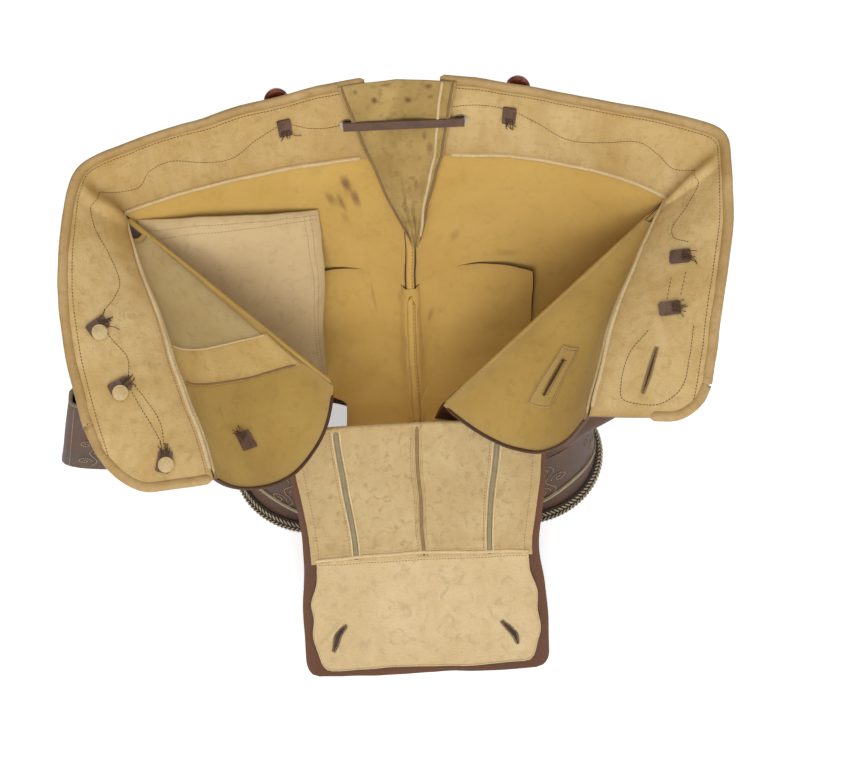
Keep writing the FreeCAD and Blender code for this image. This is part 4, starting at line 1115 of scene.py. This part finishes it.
legs = {}
for side in (RIGHT, LEFT):
    w = WORD[side]
    U, V = round_grid(120, 30)
    s = legs[side] = sheet("leg_tube_" + w, leg_wall(side, U, V), -1, 2.6, (SUEDE, BROWN), wrap=True,
                           strength=.0)
    goes(s["obj"], "root", ("leg_" + w,))
    U, V = round_grid(120, 6, BRAID_UP)
    P = leg_wall(side, U, V) + outward(U) * (2.3 + BRAID_FLARE * (1 - V[..., None] / BRAID_UP))
    b = sheet("braid_band_" + w, P, -1, 1.2, (BACKING, BACKING), wrap=True, strength=.0)
    goes(b["obj"], "root", ("hem_braid_" + w,))
    turn = np.linspace(0, 2 * np.pi, 200)
    for row, (up, off, slant) in enumerate(((.028, 6.6, .8), (.078, 4.4, -.8))):
        p = world(leg_wall(side, turn, np.full(200, up)) + outward(turn) * off)
        n = outward(turn, .85, .52)
        goes(stitches(f"braid_plait_{w}_{row}", p, n, STRAND, 3.8, 6.6, 1.7, slant=slant, sink=-.2),
             "root")
    front = np.linspace(-math.pi, 0, 120)
    rise_ = .20 + .16 * np.abs(np.sin(front * 2)) ** 1.5
    for k, lift in enumerate((.0, .035)):
        p = world(leg_wall(side, front, rise_ + lift) + outward(front) * 1.7)
        goes(tube(f"leg_piping_{w}_{k}", p, outward(front), 1.1, .9, PIPING if k else STRAND, around=6),
             "root")

# %% [markdown]
# The embroidery is a plain scroll that any saddler might sew: a stem that waves and small
# spirals that leave it left and right. It is drawn as points on a flat cloth first and then
# laid on the leg or the knife sheath.

# %% Scroll embroidery
def scroll(turns=4, wide=1.0, high=1.0):
    lines = []
    t = np.linspace(0, 1, 90)
    lines.append(np.stack((.16 * wide * np.sin(t * turns * math.pi), (t - .5) * high), -1))
    for k in range(turns):
        base = np.array((.0, (k + .5) / turns - .5)) * np.array((1, high))
        sign = 1 if k % 2 else -1
        a = np.linspace(0, 2.6 * math.pi, 50)
        r = .30 * wide * (1 - a / a[-1] * .8)
        lines.append(base + np.stack((sign * (.12 * wide + .22 * wide - r * np.cos(a)),
                                      r * np.sin(a) * .9), -1))
    return lines


def embroider(name, place, body, finish, turns=4, wide=1.0, high=1.0):
    for i, line in enumerate(scroll(turns, wide, high)):
        p, n = place(line[:, 0], line[:, 1])
        goes(stitches(f"{name}_{i}", p, n, finish, 1.9, 1.7, .75), body)


def on_leg(side, front, up):
    """Lays a flat drawing on the leg, its middle at the turn `front` and the height `up`."""
    def place(x, y):
        turn = (front if side == RIGHT else -math.pi - front) + x / 70
        n = outward(turn)
        return world(leg_wall(side, turn, up + y / 88) + n * 1.45), n

    return place


for side in (RIGHT, LEFT):
    embroider("leg_scroll_" + WORD[side], on_leg(side, -1.15, .60), "root", PALE, 3, 26, 46)
    embroider("hip_scroll_" + WORD[side], on_leg(side, -.35, .55), "root", PIPING, 3, 24, 50)

# %% [markdown]
# The knife sheath hangs at the hip. Its construction solid stays as a core, and round it goes
# a pouch of hide with a piped mouth, a row of sewing down each edge and a scroll on both faces.

# %% Knife sheath trim
SHEATH_LEAN, SHEATH_HIGH, SHEATH_OFF = 14, 121, 4.5
lean = math.radians(SHEATH_LEAN)
foot = world(np.array((-293, -2.1, 28.8)))
across_, up_ = np.array((math.cos(lean), 0, -math.sin(lean))), np.array((math.sin(lean), 0,
    math.cos(lean)))


def on_sheath(x, z, y=-9.5, out=(0, -1.0, 0)):
    x, z = np.broadcast_arrays(np.asarray(x, float), np.asarray(z, float))
    p = foot + ((x[..., None] - SHEATH_OFF) * across_ + z[..., None] * up_) / 1000 + np.array((0,
        y / 1000, 0))
    return p, np.tile(np.array(out, float), x.shape + (1,))


def oval(a, wide, deep, square_x, square_y):
    """A ring between an ellipse and a rectangle; the smaller the powers, the squarer it is."""
    c, s_ = np.cos(a), np.sin(a)
    return np.stack((np.sign(c) * np.abs(c) ** square_x * wide,
                     np.sign(s_) * np.abs(s_) ** square_y * deep), -1)


embroider("sheath_scroll", lambda x, y: on_sheath(x, y + 60), "root", PALE, 6, 22, 100)
embroider("sheath_scroll_back", lambda x, y: on_sheath(x, y + 60, 9.5, (0, 1.0, 0)), "root", PALE, 6,
          22, 100)
for tag, x in (("a", -20.5), ("b", 20.5)):
    p, n = on_sheath(np.full(40, x), np.linspace(4, 116, 40))
    goes(stitches("sheath_sewing_" + tag, p, n, STRAND, 2.4, 1.8, .7), "root")
a = np.linspace(0, 2 * np.pi, 60)
ring = oval(a, 24.0, 8.4, .35, .35)
p = foot + ((ring[:, :1] - SHEATH_OFF) * across_ + 122.4 * up_ + ring[:,
    1:] * np.array((0, 1.0, 0))) / 1000
goes(tube("sheath_mouth_piping", p, np.tile(up_, (60, 1)), 1.9, 1.6, PIPING, around=8, taper=False),
     "root")

U, V = round_grid(72, 24)
wide = 24.5 + 2.5 * (1 - V)
ring = oval(U, wide, 8.6, .6, .7)
P = ((foot * 1000 - SHIFT)[None, None] + ring[..., :1] * across_ - SHEATH_OFF * across_
     + (1 + SHEATH_HIGH * V[..., None]) * up_ + ring[..., 1:] * np.array((0, 1.0, 0)))
pouch = sheet("sheath_pouch", P, -1, 1.6, (BROWN, BROWN), wrap=True, strength=.4)
goes(pouch["obj"], "root")
print("sheath trimmed")

# %% [markdown]
# The hardware keeps its construction shapes: horn buttons, steel eyelets, the flat lace and
# the small tabs. They only need finishes.

# %% Finishes of the construction pieces
for n, obj in frame["nodes"].items():
    if obj.hide_render:
        continue
    m = (HORN if n.startswith("button") else STEEL if n.startswith("eyelet") else LACE
         if n == "back_lace"
         else TAB if n.startswith("patch") else BROWN)
    obj.data.materials.clear()
    obj.data.materials.append(m)
    print("kept", n, m.name)

# %% [markdown]
# The stage is a pale floor and an even white surround, with one large soft lamp above and
# two weak ones at the sides. The backdrop is white only for the camera and for reflections.

# %% Stage, lamps and camera
deselect()
bpy.ops.mesh.primitive_plane_add(size=12, location=(0, 0, -.0005))
floor = bpy.context.object
floor.name = "floor"
white = bpy.data.materials.new("white_floor")
white.use_nodes = True
t = white.node_tree
t.nodes.clear()
path = node(t, "LightPath")
seen = node(t, "Math", {0: path.outputs["Is Camera Ray"], 1: path.outputs["Is Glossy Ray"]},
            operation="MAXIMUM")
seen = node(t, "Math", {0: seen.outputs[0], 1: path.outputs["Is Transmission Ray"]},
            operation="MAXIMUM")
matt = node(t, "BsdfDiffuse", {"Color": (.93, .93, .93, 1)})
glow = node(t, "Emission", {"Color": (1, 1, 1, 1), "Strength": 0.55})
both = node(t, "AddShader", {0: matt.outputs[0], 1: glow.outputs[0]})
mixed = node(t, "MixShader", {0: seen.outputs[0], 1: matt.outputs[0], 2: both.outputs[0]})
node(t, "OutputMaterial", {"Surface": mixed.outputs[0]})
floor.data.materials.append(white)

sky = bpy.data.worlds.new("studio")
bpy.context.scene.world = sky
sky.use_nodes = True
t = sky.node_tree
t.nodes.clear()
path = node(t, "LightPath")
level = node(t, "MapRange", {"Value": path.outputs["Is Camera Ray"], "To Min": .42, "To Max": 1.0})
back = node(t, "Background", {"Color": (1, 1, 1, 1), "Strength": level.outputs[0]})
node(t, "OutputWorld", {"Surface": back.outputs[0]})
for name, place, size, power in (("key", (-.15, -1.55, 1.05), 1.5, 23),
                                 ("fill", (1.2, -.5, 1.3), 1.2, 4), ("top", (-.3, -.1, 2.2), 1.6, 5)):
    lamp = bpy.data.lights.new(name, "AREA")
    lamp.size, lamp.energy = size, power
    o = bpy.data.objects.new(name, lamp)
    bpy.context.scene.collection.objects.link(o)
    o.location = place
    o.rotation_euler = (Vector((0, 0, .15)) - Vector(place)).to_track_quat("-Z", "Y").to_euler()

scene = bpy.context.scene
scene.view_settings.view_transform = "Standard"
cam = bpy.data.cameras.new("camera")
cam.lens, cam.sensor_width, cam.shift_x, cam.clip_end = 67.76, 36, .0118, 50
eye = bpy.data.objects.new("camera", cam)
scene.collection.objects.link(eye)
tilt, roll = math.radians(62), math.radians(2.5)
ahead = Vector((0, math.cos(tilt), -math.sin(tilt)))
over = Vector((0, math.sin(tilt), math.cos(tilt)))
right_ = Vector((1, 0, 0))
R = right_ * math.cos(roll) - over * math.sin(roll)
T = right_ * math.sin(roll) + over * math.cos(roll)
turned = Matrix((R, T, -ahead)).transposed().to_4x4()
turned.translation = Vector((.03015, -.0072, .200)) - ahead * 1.3
eye.matrix_world = turned
scene.camera = eye
print("camera at", [round(x, 3) for x in turned.translation])
